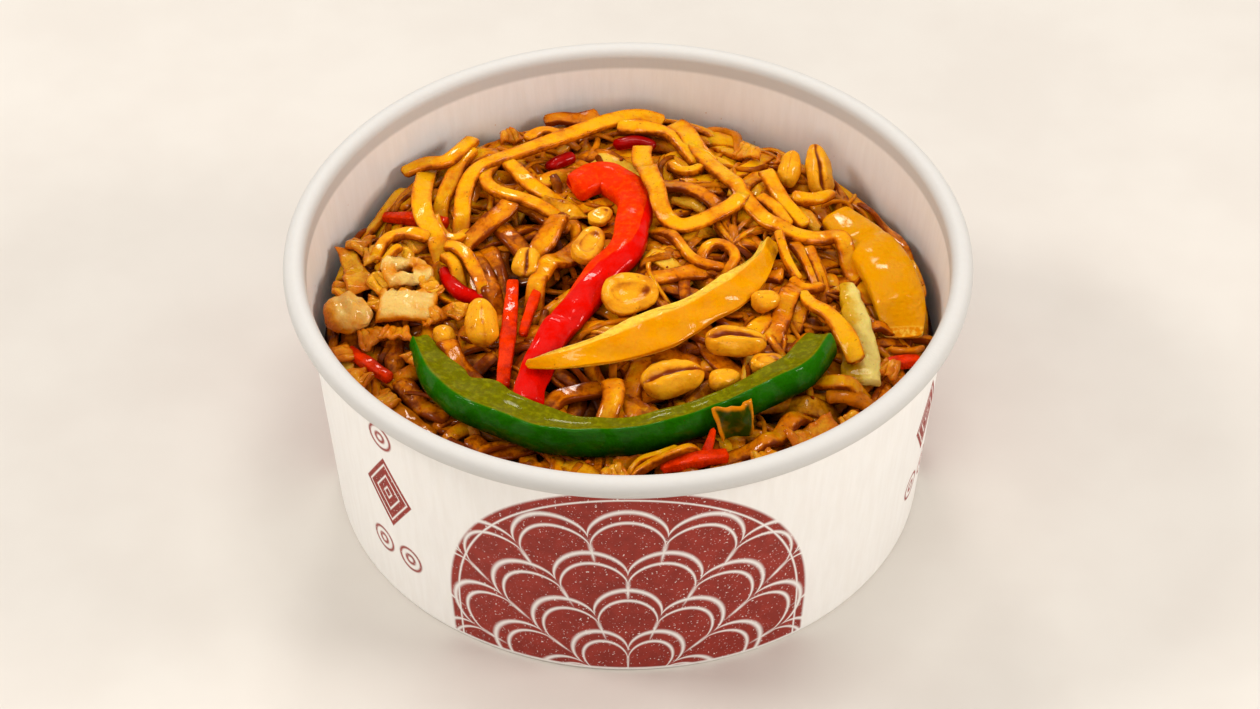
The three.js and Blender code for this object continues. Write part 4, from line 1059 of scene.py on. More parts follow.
def make_green_strip(pile, finish):
    route, run, share, halves = lay_strip(pile, GREEN, 0.45, 8)
    at = np.arange(66) * len(GREEN_SECTION) / 66
    wrapped = np.array([*GREEN_SECTION, GREEN_SECTION[0]])
    across, over, cover = (np.interp(at, np.arange(len(wrapped)), column) for column in wrapped.T)
    shape = np.stack([across, over], axis=1)
    for _ in range(2):
        shape = (np.roll(shape, 1, axis=0) + 2 * shape + np.roll(shape, -1, axis=0)) / 4
    sections = shape[None] * halves[:, None]
    # The inner edge is uneven, with a stub of rib on the left
    inner = clamp(shape[:, 0]) ** 2
    bump = 1.5 * bell(share, 0.235, 0.035) - 0.9 * bell(share, 0.185, 0.02)
    uneven = 0.25 * np.sin(run / 2.1) + 0.3 * np.sin(run / 5.3 + 1) + bump
    sections[..., 0] += inner[None] * uneven[:, None]
    cut = clamp((shape[:, 1] - 0.6) / 0.3) * clamp(0.9 - shape[:, 0] ** 2)
    sections[..., 1] -= cut[None] * (0.35 + 0.18 * np.sin(run / 3.1))[:, None]
    # A pinch in the skin on the right
    pinch = bell(share, 0.735, 0.018)
    outward = clamp(-shape[:, 0])
    sections[..., 0] += (outward[None] * pinch[:, None]) * 0.9
    sections[..., 1] -= (outward * clamp(shape[:, 1]))[None] * pinch[:, None] * 0.8
    sections *= rounded_ends(run, 1.3)[:, None, None] * 0.9 + 0.1
    rings = lumpy(sweep(route, sections, -0.18 + 0.1 * np.sin(share * 5)), 7.0, 0.35, 2)
    clay = Clay()
    # The skin's tone rises lower down: painted shade
    clay.add_loft(rings, skin=(cover, 0.2), tone=(0.45 - 0.55 * shape[:, 1], 0.5))
    clay.fire("green_pepper", finish, "green_pepper", ["green_pepper_strip"])


def flat_pepper(name, data, finish, slot, nodes, pile, *, skin_side, curl, power=0.7, seed=1,
                lean=0.0, swell=None, spacing=0.45, around=60, rough=0.35, pale=None, shaded=0.35):
    """A pepper strip lying flat. skin_side(angle share round the section, share along) is 1
    on the skin, and curl is how far its edges turn down. It is pale on top to the right of
    pale, a range across it: paler flesh with a painted sheen. Its skin has painted shade,
    darker lower down and towards one edge, and darker overall for a higher shaded."""
    route, run, share, halves = lay_strip(pile, data, spacing, 8)
    shape = oval(around, power)
    sections = shape[None] * halves[:, None]
    sections[..., 1] -= curl * (shape[:, 0] ** 2)[None] * halves[:, 1:]
    if swell is not None:
        across, over = swell(share[:, None], shape[None, :, 0], shape[None, :, 1])
        sections[..., 0] += across
        sections[..., 1] += over
    sections *= (rounded_ends(run, 1.2) * 0.92 + 0.08)[:, None, None]
    roll = along_list(np.atleast_1d(lean), share)
    rings = lumpy(sweep(route, sections, roll), 6.0, rough, seed)
    cover = skin_side(np.arange(around)[None] / around, share[:, None])
    # Painted shade: the skin's tone rises lower down, towards one edge, and with shaded
    shade = shaded - 0.4 * shape[:, 1] + 0.2 * shape[:, 0]
    band = soft_step(shape[:, 0], *pale) * (shape[:, 1] > -0.5) if pale else 0
    clay = Clay()
    clay.add_loft(rings, skin=(cover, 0), tone=(shade, 0.5), pale=(band, 0))
    clay.fire(name, finish, slot, nodes)


def make_red_strip(pile, finish):
    def skin_side(angle, share):
        # Skin on the right, and on more and more of the top towards the front end
        turn = (angle + 0.5) % 1.0 - 0.5
        edge = np.interp(share, [0.1, 0.3, 0.45, 0.6, 0.72, 1.0], [0.06, 0.19, 0.24, 0.3, 0.4, 0.42])
        return soft_step(edge - np.abs(turn), -0.01, 0.01)

    def swell(share, across, over):
        top = clamp(over)
        crease = bell(share, 0.72, 0.012) * top
        beyond = soft_step(share, 0.72, 0.8) * top * np.clip(0.6 + across, 0, 2)
        dent = bell(share, 0.33, 0.04) * top * (1 - across**2)
        fall = clamp(across - 0.35) * top
        sink = -0.6 * crease - 0.5 * beyond - 0.5 * dent - 1.6 * fall
        return 0.3 * np.sin(share * 31) * np.abs(across), sink

    flat_pepper("red_pepper", RED, finish, "red_pepper", ["red_pepper_strip"], pile,
                skin_side=skin_side, curl=0.08, power=0.5, seed=5, swell=swell,
                lean=[0.25, 0.2, 0.1, 0.05, 0.0, -0.05, -0.1])


def make_yellow_strip(pile, finish):
    def skin_side(angle, share):
        # The skin is underneath and along the front edge; the ribbed inside faces up
        turn = (angle + 0.25) % 1.0 - 0.5
        return soft_step(0.4 - np.abs(turn + 0.12), -0.02, 0.02)

    def swell(share, across, over):
        # A ridge runs along it: a flat face in front, a wrinkled one behind
        top = clamp(over)
        behind = clamp(across - 0.25)
        before = np.clip(0.25 - across, 0, 1.3)
        wrinkle = 0.5 * np.sin(share * 50 + 3 * np.sin(share * 17) + 2 * across)
        wrinkle = wrinkle * soft_step(across, 0.2, 0.45)
        ripple = 0.25 * np.sin(share * 31 + 4 * across)
        return 0.4 * np.sin(share * 19) * across, top * (wrinkle + ripple - 3.2 * behind - 1.7 * before)

    flat_pepper("yellow_pepper", YELLOW, finish, "yellow_pepper", ["yellow_pepper_strip"], pile,
                skin_side=skin_side, curl=-0.05, power=0.7, seed=8, swell=swell, rough=0.25,
                lean=[0.0, 0.05, 0.16, 0.2, 0.2, 0.18, 0.15, 0.1, 0.0], pale=(0.2, 0.4), shaded=0.65)


def make_yellow_slab(pile, finish):
    def skin_side(angle, share):
        return 1 - soft_step(share, 0.93, 0.95)

    def swell(share, across, over):
        # It turns down at its front end and is a little folded behind the middle
        top = clamp(over)
        fold = 0.5 * bell(share, 0.3, 0.03)
        return 0, -top * (fold + 14 * clamp(share - 0.8) * (1 - 0.3 * across))

    flat_pepper("yellow_pepper_slab_piece", SLAB, finish, "yellow_pepper", ["yellow_pepper_slab"], pile,
                skin_side=skin_side, curl=0.15, power=0.5, seed=12, swell=swell, lean=0.1, rough=0.15,
                shaded=0.15)


def make_small_strips(pile, red, carrot, onion, cabbage, green_leaf):
    def skin_above(angle, share):
        return soft_step(0.3 - np.abs(angle - 0.25), -0.04, 0.04)

    for name, data in SMALL_RED.items():
        flat_pepper(name + "_piece", data, red, "red_pepper", [name], pile, curl=0.4, power=0.7,
                    seed=len(name), around=28, spacing=0.5, shaded=0.95 if "curl" in name else 1.2,
                    skin_side=skin_above)
    # Shares of the full width at the two ends, and of the full height
    carrot_ends = (0.7, 0.8, 0.7, 0.8)
    soft_ends = (0.5, 0.6, 0.7, 0.7)
    for table, finish, slot, ends, power, wrinkle in (
        (CARROTS, carrot, "carrot", carrot_ends, 0.42, 0.14),
        (ONIONS, onion, "onion", soft_ends, 0.8, 0.4),
        (SLIVERS, cabbage, "cabbage", soft_ends, 0.8, 0.5),
    ):
        for node, (stops, width, height) in table.items():
            name = node.replace("_stick", "") if "_stick" in node else node + "_piece"
            sizes = {
                "stops": stops,
                "widths": [width * ends[0], width, width * ends[1]],
                "heights": [height * ends[2], height, height * ends[3]],
            }
            simple_strip(name, sizes, finish, slot, [node], pile, power, wrinkle)
    rib = "cabbage_rib"
    simple_strip(rib + "_piece", RIB, green_leaf, "cabbage", [rib], pile, 0.6, 0.5, sauce_and_shade=-0.6)
    simple_strip("carrot_sliver", CARROT_SLIVER, carrot, "carrot", [], pile, 0.5, 0.14)


def simple_strip(name, data, finish, slot, nodes, pile, power, wrinkle, sauce_and_shade=0.35):
    """A strip of one material, darker to the right when its last argument is above 0, else to the left,
    and darker underneath: the side is partly sauce and partly painted shade, the underside painted shade.
    """
    route, run, _, halves = lay_strip(pile, data, 0.5, 3)
    shape = oval(28, power)
    sections = shape[None] * halves[:, None]
    sections *= (rounded_ends(run, 0.8) * 0.9 + 0.1)[:, None, None]
    rings = lumpy(sweep(route, sections), 2.6, wrinkle, len(name))
    clay = Clay()
    # Painted shade underneath, and to one side partly sauce and partly painted shade
    clay.add_loft(rings, tone=(0.4 + sauce_and_shade * shape[:, 0] - 0.25 * shape[:, 1], 0.6))
    clay.fire(name, finish, slot, nodes)


def reserve_lump(pile, vertices):
    """Keeps noodles under a lump, by the lowest part of it over each spot."""
    for start in range(0, len(vertices), 4):
        x, y, z = vertices[start]
        i, j = pile.cells(np.array(x), np.array(y))
        window = (slice(max(i - 2, 0), i + 3), slice(max(j - 2, 0), j + 3))
        pile.under[window] = np.minimum(pile.under[window], z)
        pile.over[window] = np.maximum(pile.over[window], z)


def make_peanuts(pile, finish):
    for i, (kind, x, y, length, width, height, turn, pitch, lean) in enumerate(PEANUTS):
        vertices, faces, inner = peanut(kind, length, width, height, i + 1)
        vertices = dropped(turned(vertices, turn, pitch, lean), x, y)
        reserve_lump(pile, vertices)
        name = f"peanut_kernel_{i + 1}"
        make_piece(name, finish, "peanut", [f"peanut_{i + 1}"], vertices, faces, tone=inner)


# ---- Cabbage ----


def make_cabbage(pile, chunk, leaf):
    """A folded lump, a closed ring, a stalk's cross-cut and two wavy leaves."""

    def lay(node, vertices, faces, tone, x, y, finish=chunk, **turns):
        placed = dropped(turned(vertices, **turns), x, y)
        reserve_lump(pile, placed)
        make_piece(node + "_piece", finish, "cabbage", [node], placed, faces, tone=tone)

    vertices, faces = ball(44, 60)
    # Browner to the left, and darker lower down as painted shade
    tone = 0.2 + 0.8 * clamp(-vertices[:, 0] - vertices[:, 2] * 0.6 + 0.1)
    vertices = vertices * [5.3, 5.2, 3.7]
    folds = 0.4 * np.sin(vertices[:, 0] * 1.6 + 1.2 * np.sin(vertices[:, 1] * 0.6))
    vertices[:, 2] += folds * (vertices[:, 2] > 0)
    vertices = lumpy(lumpy(vertices, 4.0, 0.9, 3), 1.5, 0.3, 4)
    lay("cabbage_lump", vertices, faces, tone, -61.8, -3.4, turn=6)

    ring = np.linspace(0, TAU, 73)[:-1]
    tube = np.arange(28) * TAU / 28
    big, small = np.meshgrid(ring, tube, indexing="ij")
    thick = 1.75 + 0.35 * np.sin(3 * big + 1)
    x = (3.6 + thick * np.cos(small)) * np.cos(big) * 1.15
    y = (3.6 + thick * np.cos(small)) * np.sin(big) * 0.85
    z = thick * np.sin(small) + 0.5 * np.sin(x)
    vertices = np.stack([x, y, z], axis=-1).reshape(-1, 3)
    # Darker underneath and towards the hole: painted shade; the rest varies round the ring
    tone = (0.35 + 0.4 * np.sin(2 * big) - 0.25 * np.sin(small) - 0.2 * np.cos(small)).ravel()
    vertices = lumpy(lumpy(vertices, 2.4, 0.7, 6), 1.1, 0.25, 16)
    lay("cabbage_ring", vertices, [closed_quads(x.shape)], tone, -49.2, 7.4, turn=-15)

    def stalk(u, v):
        fringe = clamp((v - 0.86) / 0.1) * 0.8 * np.sin(u * 19)
        sag = 1.5 * np.sin(math.pi * u) + 0.8 * np.sin(5 * v) + 0.12 * np.sin(u * 30) * v
        return np.stack([(u - 0.5) * 13, (v - 0.5) * 8.4 + fringe, sag], axis=-1)

    vertices, faces, tone = leaf_skin(60, 40, 3.0, stalk)
    lay("cabbage_stalk", lumpy(vertices, 2.6, 0.4, 7), faces, tone * 0.9, -48.6, -2, turn=-4, lean=16)

    def leaf_left(u, v):
        taper = 1 - 0.5 * u
        wave = 1.6 * np.sin(7 * u) * v + 0.3 * np.sin(26 * u) * v
        return np.stack([(u - 0.5) * 15, (v - 0.5) * 6.6 * taper, wave + 2 * v], axis=-1)

    vertices, faces, tone = leaf_skin(60, 30, 1.1, leaf_left)
    vertices = lumpy(vertices, 2.5, 0.4, 8)
    lay("cabbage_leaf_left", vertices, faces, 0.2 + 0.5 * tone, -60.6, 10.4, leaf, turn=110, lean=-20)

    def leaf_front(u, v):
        wave = 1.1 * np.sin(6 * u + 2 * v) + 1.4 * v + 0.2 * np.sin(24 * u)
        return np.stack([(u - 0.5) * 12, (v - 0.5) * 7, wave], axis=-1)

    vertices, faces, tone = leaf_skin(50, 34, 1.2, leaf_front)
    vertices = lumpy(vertices, 2.2, 0.4, 9)
    lay("cabbage_leaf_front", vertices, faces, 0.4 + 0.5 * tone, 39.6, -40.4, leaf, turn=32, lean=10)


# Bits of soft leaf: x, y, length, width, turn and lean in degrees, and how brown
LEAF_BITS = [
    (-55.6, 14.6, 9, 5.4, 20, 10, 0.1), (-56.2, -8.8, 7.4, 5, 30, 8, 0.5), (-50.6, -9.4, 8, 4.2, -8, 0, 0.4),
    (-54.8, 5.4, 8, 5, 60, 12, 0.1), (-43.6, 3.4, 7, 4.4, -50, -8, 0.25), (-51, 13, 8.4, 4.4, -12, 12, 0.0),
    (-55.4, -0.6, 6, 4.6, 80, 0, 0.3), (-43, -6, 6, 4, 30, 10, 0.4), (-63, 3.4, 6.4, 5, 80, 14, 0.2),
    (-37.6, -4.6, 5.4, 4, 70, 10, 0.2), (-60.4, 18.6, 7, 5, 70, -10, 0.3),
    (-48.6, 17.2, 8, 4.6, 40, 8, 0.25), (43.4, -5, 6.6, 3.4, 80, 0, 0.2),
    (56.4, -19, 6, 4.6, -30, 8, 0.4), (28.6, -46.6, 7, 4.6, 30, 6, 0.3),
    (47.6, -35.4, 6.6, 4.4, 40, 8, 0.25), (-33.6, -46.4, 6, 4, -30, 6, 0.4),
    (-3, -50.6, 6, 3.4, 10, 5, 0.25),
    (-62.6, -12, 6, 4.4, 110, 6, 0.5), (62, 8, 5, 3, 100, 0, 0.4), (27.6, 49.6, 7, 4, -20, 8, 0.2),
    (36.6, 48.4, 6, 4, 10, -8, 0.35), (24.6, 32.4, 6, 3.6, 60, 6, 0.2), (-27.4, 56, 6, 4, 20, 8, 0.4),
    (-45.6, -16.8, 7, 4.6, -40, 6, 0.45), (-58, -20, 7, 4.6, -60, 6, 0.5), (-52, -27, 7, 4.6, -50, 6, 0.4),
]


def make_leaf_bits(pile, finish):
    clay = Clay()
    for i, (x, y, length, width, turn, lean, tone) in enumerate(LEAF_BITS):
        def crumpled(u, v):
            wave = 0.9 * np.sin(5 * u + i) * np.cos(3 * v + 2 * i) + 0.25 * np.sin(21 * u + i)
            return np.stack([(u - 0.5) * length * (1 - 0.4 * v), (v - 0.5) * width, wave], axis=-1)

        vertices, faces, browned = leaf_skin(22, 12, 1.0, crumpled)
        vertices = turned(lumpy(vertices, 2.0, 0.5, i), turn=turn, lean=lean)
        vertices = dropped(vertices, x, y, 1.4)
        reserve_lump(pile, vertices)
        clay.add(vertices, faces, tone=tone + 0.4 * browned)
    clay.fire("cabbage_leaf_bits", finish, "cabbage")


def make_leek(pile, finish):
    def standing(u, v):
        across = (u - 0.5) * (7 + 2 * v)
        ruffle = 0.9 * np.sin(5 * u + 1.5 * v) + 2.2 * v * v + 0.35 * np.sin(17 * u) * v
        return np.stack([across, ruffle, v * 7.6], axis=-1)

    vertices, faces, _ = leaf_skin(44, 44, 0.9, standing)
    vertices = dropped(turned(lumpy(vertices, 2.2, 0.3, 10), 28), 23, -41.2, 2)
    reserve_lump(pile, vertices)
    u, v = np.meshgrid(np.linspace(0, 1, 45), np.linspace(0, 1, 45), indexing="ij")
    edge = clamp(1 - np.minimum.reduce([u, 1 - u, 1 - v]) / 0.14).ravel()
    tone = np.concatenate([edge, edge])
    make_piece("leek_leaf_piece", finish, "leek", ["leek_leaf"], vertices, faces, tone=tone)


# ---- Noodles over all ----

# The noodles that stand out: width, how dark it is (its sauce, and painted shade for those low in the
# hollows), and stops as [x, y, lift over the even heap]
TOP_NOODLES = [
    (4.8, 0.0, [
        (-46, 46.5, 5), (-46.5, 39.5, 6), (-47, 32.5, 6), (-46.5, 28, 5), (-45, 23, 4), (-42, 16, 1),
    ]),
    (2.6, 0.1, [(-44, 27.5, 4), (-43, 23.5, 3), (-41, 19.5, 2.5), (-38.5, 18.5, 2.5), (-36.5, 22, 1.5)]),
    (3.6, 0.15, [(-52, 41.5, 7.5), (-46, 44.5, 7.5), (-42, 43.5, 7.5), (-37.5, 49.5, 7), (-35.5, 53.5, 6)]),
    (3.6, 0.1, [(-35.5, 50, 6), (-38.5, 45, 5.5), (-40, 40, 5), (-42.5, 32.5, 3), (-42.5, 29.5, 1.5)]),
    (4.2, 0.1, [
        (8.5, 60, 3), (3, 62, 4), (-5, 59.5, 4.2), (-14.5, 52.5, 4.6), (-24.5, 45, 5.5), (-34, 40, 6),
        (-37, 33.5, 5), (-37.5, 26.5, 1.5),
    ]),
    (3.4, 0.1, [(-28, 42.5, 5), (-25, 38, 4.5), (-22.5, 34, 4), (-19, 31.5, 3), (-17, 31.5, 1.5)]),
    (3.2, 0.15, [
        (-30, 42, 5), (-32, 40, 5), (-32.5, 36, 5), (-31, 33, 4.6), (-27.5, 30.5, 4), (-23.5, 29, 3.4),
        (-17.5, 26.5, 1.4),
    ]),
    (4.6, 0.5, [(-26, 28.5, 3.5), (-28, 25, 3.5), (-30.5, 23, 3), (-33, 20.5, 2.4), (-36, 18.5, 1)]),
    (4.6, 0.8, [(-29.5, 24.5, 1), (-27, 20, 1), (-24, 16, 1), (-22, 13, 0)]),
    (5.0, 0.4, [(-15, 24, 2.4), (-17, 19.5, 2.4), (-19, 15, 2), (-21, 12.5, 1)]),
    (3.0, 0.25, [(-41.5, 15.5, 3), (-38.5, 15, 3), (-36, 12, 3), (-34, 7.5, 2.6), (-32, 2, 1)]),
    (3.0, 0.2, [(-41.5, 13.5, 2.4), (-39, 10.5, 2), (-38, 8, 1)]),
    (3.0, 0.1, [(-57, 12, 5), (-53, 17, 5), (-49, 18.5, 4.5), (-44, 17.5, 3)]),
    (2.4, 0.05, [(-56.5, 10.5, 4), (-53, 12, 4.5), (-50, 13.5, 4)]),
    (4.6, 0.9, [(-34, 14.5, 0.5), (-32, 6.5, 0.5), (-29.5, 0, 0)]),
    (4.6, 0.85, [(-31, 15.5, 0.5), (-29, 8, 0.5), (-28, 1, 0)]),
    (5.0, 0.3, [(-11, 15, 1.5), (-14, 11, 2), (-18, 6.5, 2), (-20, 2, 1.6), (-20.5, -1, 0.4)]),
    (4.6, 0.7, [(-40, -14, 1.5), (-37.5, -18, 1.5), (-34.5, -21.5, 1)]),
    (3.0, 0.2, [(-23.5, 51.5, 4.5), (-21.5, 54, 5), (-19.5, 55.5, 5), (-16.5, 54, 5), (-14, 52.5, 4)]),
    (3.5, 0.5, [(-20, 62.5, 3.5), (-16, 63.5, 4), (-11.5, 62, 4), (-6.5, 64.5, 3.5)]),
    (3.2, 0.15, [
        (-3, 57.5, 4), (1.5, 57, 4), (5.5, 57, 3.6), (9.5, 55.5, 3.2), (14, 47.5, 2.6), (16, 44, 2),
    ]),
    (5.0, 0.1, [(10, 60.5, 2.6), (13, 57, 3), (15, 51.5, 3), (17, 47, 2.6), (19, 43.5, 2)]),
    (3.8, 0.15, [
        (14.5, 54, 2.6), (17.5, 45.5, 3.2), (22, 38, 3.2), (27.5, 27, 3.2), (33.5, 20, 2.8),
        (42.5, 18, 2.6), (46.5, 18, 2.6), (50.5, 9.5, 1.6), (54.5, 1.5, 0.4),
    ]),
    (4.2, 0.1, [
        (3.5, 50, 3.5), (3, 45, 3.5), (4, 40, 3), (5, 34, 3), (6.5, 28.5, 2.8), (7.5, 22.5, 2.6),
        (11.5, 18.5, 2.6), (15.5, 20, 2.8), (20, 23.5, 3), (24.5, 27.5, 3), (27, 32, 1.6),
    ]),
    (2.6, 0.35, [(6.5, 19, 1.5), (9.5, 17, 2), (11.5, 13, 2), (14, 8.5, 2), (17, 7, 1.8), (20, 8, 1)]),
    (2.8, 0.3, [(16.5, 11, 1.5), (18, 14, 2), (20.5, 14.5, 2), (23, 13, 2), (24, 10, 1.6), (22.5, 8, 1)]),
    (3.6, 0.05, [(31, 40.5, 2.4), (33.5, 33.5, 2.8), (35.5, 28.5, 3), (38, 25, 2.6), (40, 22, 2)]),
    (3.0, 0.2, [(29, 30, 3.5), (32, 27.5, 3.6), (34.5, 24, 3.4), (36, 20.5, 3)]),
    (3.0, 0.2, [(36.5, 31.5, 3), (39, 31, 3.2), (42.5, 31.5, 3.2), (47, 34.5, 2.4)]),
    (2.2, 0.05, [(33.5, 17, 2.6), (34, 13, 2.6), (35.5, 9.5, 2.4), (38, 4.5, 2)]),
    (3.0, 0.5, [(36.5, 17, 2.4), (39, 12.5, 2.2), (41, 8.5, 1.6), (42, 5, 1)]),
    (3.0, 0.6, [(40, 16.5, 2), (41.5, 11, 2), (43, 6, 1.4)]),
    (2.4, 0.3, [(36, 5.5, 2.2), (38, 2.5, 2.4), (40.5, 2, 2.4), (43.5, 4, 2)]),
    (2.4, 0.2, [(9.5, 44.5, 3), (11.5, 41, 3), (13.5, 40.5, 3), (17.5, 43, 2.6)]),
    (3.6, 0.6, [(5, 36.5, 2), (9, 35, 2.4), (12.5, 34, 2.4), (17, 31, 2.2), (20.5, 28, 1.6)]),
    (4.4, 0.3, [(27.5, 9, 2), (31, 7.5, 2.4), (35, 6.5, 2.2)]),
    ((2.4, 3.4, 4.8, 4.4), 0.05, [
        (38, 1.5, 2), (40.5, -5, 2.8), (44, -8, 4), (48.5, -17, 4.2), (49.5, -21, 3.8),
    ]),
    (4.4, 0.45, [(32.5, -10, 1.4), (34, -4.5, 2), (36, 0.5, 2.2), (38, 4, 1.8)]),
    (4.4, 0.5, [(30, -7.5, 1), (32, -2.5, 1.6), (34, 2, 1.6)]),
    (4.0, 0.6, [(37.5, -4.5, 1), (39, 0, 1.4), (40.5, 4, 1)]),
    (4.0, 0.4, [(27, -11.5, 1), (30, -7, 1.4), (32.5, -1, 1)]),
    (2.4, 0.7, [(53, -7.5, 1.6), (56, -6.5, 2), (59.5, -6.5, 2), (65, -6.5, 1.6)]),
    (2.6, 0.85, [(52.5, -10.5, 1), (55.5, -9, 1.4), (59, -8.5, 1)]),
    (4.0, 0.6, [(21, -45, 1), (26, -43.5, 1.5), (31, -41.5, 1.5), (36, -35.5, 0.6)]),
    (3.4, 0.3, [(40.5, -24, 1.4), (44.5, -26, 1.8), (48.5, -26, 1.6)]),
    (1.4, 0.1, [(1, -49, 1), (2.5, -47.5, 2), (6.5, -47, 2.4), (11, -44.5, 2)]),
    (1.6, 0.4, [(2.5, -49.5, 1), (7.5, -48, 1.6), (13, -45.5, 1.6)]),
    (5.0, 0.8, [(6.5, -18, 0.8), (9.5, -18.5, 1), (13, -20, 0.6)]),
    (5.0, 0.5, [(2.5, -21.5, 1.6), (0.5, -28.5, 1.6), (1.5, -33.5, 1)]),
    (5.0, 0.4, [(-3.5, -26.5, 2), (-3, -31.5, 2), (-4.5, -35.5, 1.4)]),
    (4.6, 0.75, [(-17.5, -33, 0.6), (-15, -30, 1), (-10.5, -28.5, 1.2), (-6, -27, 0.8)]),
]


def make_noodles(pile, finish, shred_finish, sliver_finish, crumb_finish):
    laid = Noodles(pile, 23)
    for widths, _, stops in TOP_NOODLES:
        route = smooth_route(stops, 1.0)
        underside = even_heap(route[:, 0], route[:, 1]) + route[:, 2]
        pile.reserve(route[:, :2], max(np.atleast_1d(widths)) / 2 * 0.8, underside)
    laid.scatter("deep", 170, width=(3.6, 5.0), length=(40, 90), thickness=2.0, around=8, spacing=2.0,
                 bend=0.035, cap=6.0)
    laid.scatter("middle", 300, width=(3.2, 4.8), length=(30, 70), thickness=1.8, around=10, spacing=1.3,
                 bend=0.05, twist=0.6, most_buried=0.45, cap=3.2)
    for part in range(3):
        laid.scatter(f"upper_{part + 1}", 360, width=(2.8, 5.0), length=(22, 60), thickness=1.4, around=12,
                     spacing=0.9, bend=0.06, twist=0.9, most_buried=0.4, sink=0.2)
    laid.scatter("strands", 90, width=(0.9, 1.9), length=(14, 40), thickness=1.0, around=8, spacing=0.8,
                 bend=0.08, twist=1.5, sink=0.1)
    laid.scatter("shreds", 120, width=(3.0, 6.5), length=(8, 20), thickness=0.8, around=14, spacing=0.8,
                 bend=0.04, twist=0.6, sink=0.2, cap=-0.8)
    for widths, tone, stops in TOP_NOODLES:
        laid.hang("top", stops, widths, tone, NOODLE_THICKNESS, 18, 0.65)
    laid.scatter("slivers", 420, width=(0.8, 2.4), length=(7, 24), thickness=0.8, around=8, spacing=0.7,
                 bend=0.12, twist=0.8, most_buried=0.6, sink=0.1, cap=-1.2)

    add_core(laid.batches["deep"])
    sliver = laid.batches.pop("slivers")
    shred = laid.batches.pop("shreds")
    for batch, clay in laid.batches.items():
        clay.fire("noodles_" + batch, finish, "noodle", ["noodle_heap"] if batch == "deep" else [])
    shred.fire("cabbage_shreds", shred_finish, "cabbage")
    sliver.fire("onion_slivers", sliver_finish, "onion")
    make_crumbs(pile, laid.rng, crumb_finish)


def add_core(clay):
    """The body of the heap under the noodles, down to the base and out to the wall."""
    bottom = FOOT_RISE + 1.4
    radii = np.linspace(0, 1, 30)[1:]
    angle = np.arange(120) * TAU / 120
    reach = inner_wall(40.0) - 0.5
    x = radii[:, None] * reach * np.cos(angle)
    y = radii[:, None] * reach * np.sin(angle)
    z = heap_height(x, y) - CORE_DEPTH
    top = np.stack([x, y, z], axis=-1)[::-1]
    foot = turn_profile([(inner_wall(bottom) - 0.5, bottom)], 120)
    vertices, faces = loft(np.concatenate([foot.transpose(1, 0, 2), top]))
    # With full depth and tone it is painted fully dark, as shade
    clay.add(vertices, faces, tone=1.0, depth=1.0, rim=0.0)


def make_crumbs(pile, rng, finish):
    """Bits of spice, garlic and crushed peanut, lying where the pile's top is."""
    clay = Clay()
    base, faces = ball(6, 7)
    for _ in range(CRUMBS):
        reach = 64 * math.sqrt(rng.random())
        turn = rng.uniform(0, TAU)
        x, y = reach * math.cos(turn), reach * math.sin(turn)
        cell = pile.cells(np.array(x), np.array(y))
        if pile.under[cell] < pile.OPEN:
            continue
        size = rng.uniform(0.2, 0.6)
        shape = base * size * rng.uniform(0.6, 1.3, 3)
        shape = shape + rng.normal(size=shape.shape) * 0.07 * size
        shape = turned(shape, rng.uniform(0, 360), rng.uniform(0, 60))
        clay.add(shape + [x, y, pile.top[cell] + size * 0.1], faces, tone=rng.random())
    clay.fire("spice_crumbs", finish, "peanut")


# ---- Stage ----

TABLE = 1.6  # half its width, in metres
CAMERA_ELEVATION = math.radians(42.04)
CAMERA_DISTANCE = 0.78208
CAMERA_TARGET = Vector((0.00042, 0.0, 0.03226))
# Name, place and size in metres, watts and colour
LIGHTS = [
    ("window", (-0.68, 0.05, 0.66), (0.22, 0.22), 2.9, (1.0, 0.975, 0.94)),
    ("overhead", (0.1, 0.1, 0.95), (0.3, 0.3), 1.7, (1.0, 0.98, 0.95)),
    ("behind", (-0.08, 0.72, 0.72), (0.15, 0.15), 1.3, (1.0, 0.98, 0.95)),
    ("front", (-0.2, -0.9, 0.35), (0.7, 0.5), 2.1, (1.0, 0.96, 0.92)),
    ("right", (0.8, -0.15, 0.48), (0.25, 0.25), 3.2, (1.0, 0.965, 0.93)),
]


def aim(name, data, location, target):
    """Puts a camera or a light at a place, turned towards a target."""
    made = bpy.data.objects.new(name, data)
    made.location = location
    made.rotation_mode = "QUATERNION"
    made.rotation_quaternion = (Vector(target) - Vector(location)).to_track_quat("-Z", "Y")
    bpy.context.scene.collection.objects.link(made)
    return made


def make_camera():
    data = bpy.data.cameras.new("camera")
    data.sensor_width = 36.0
    data.lens = 100.0
    data.sensor_fit = "HORIZONTAL"
    away = Vector((0.0, -math.cos(CAMERA_ELEVATION), math.sin(CAMERA_ELEVATION)))
    bpy.context.scene.camera = aim("camera", data, CAMERA_TARGET + CAMERA_DISTANCE * away, CAMERA_TARGET)


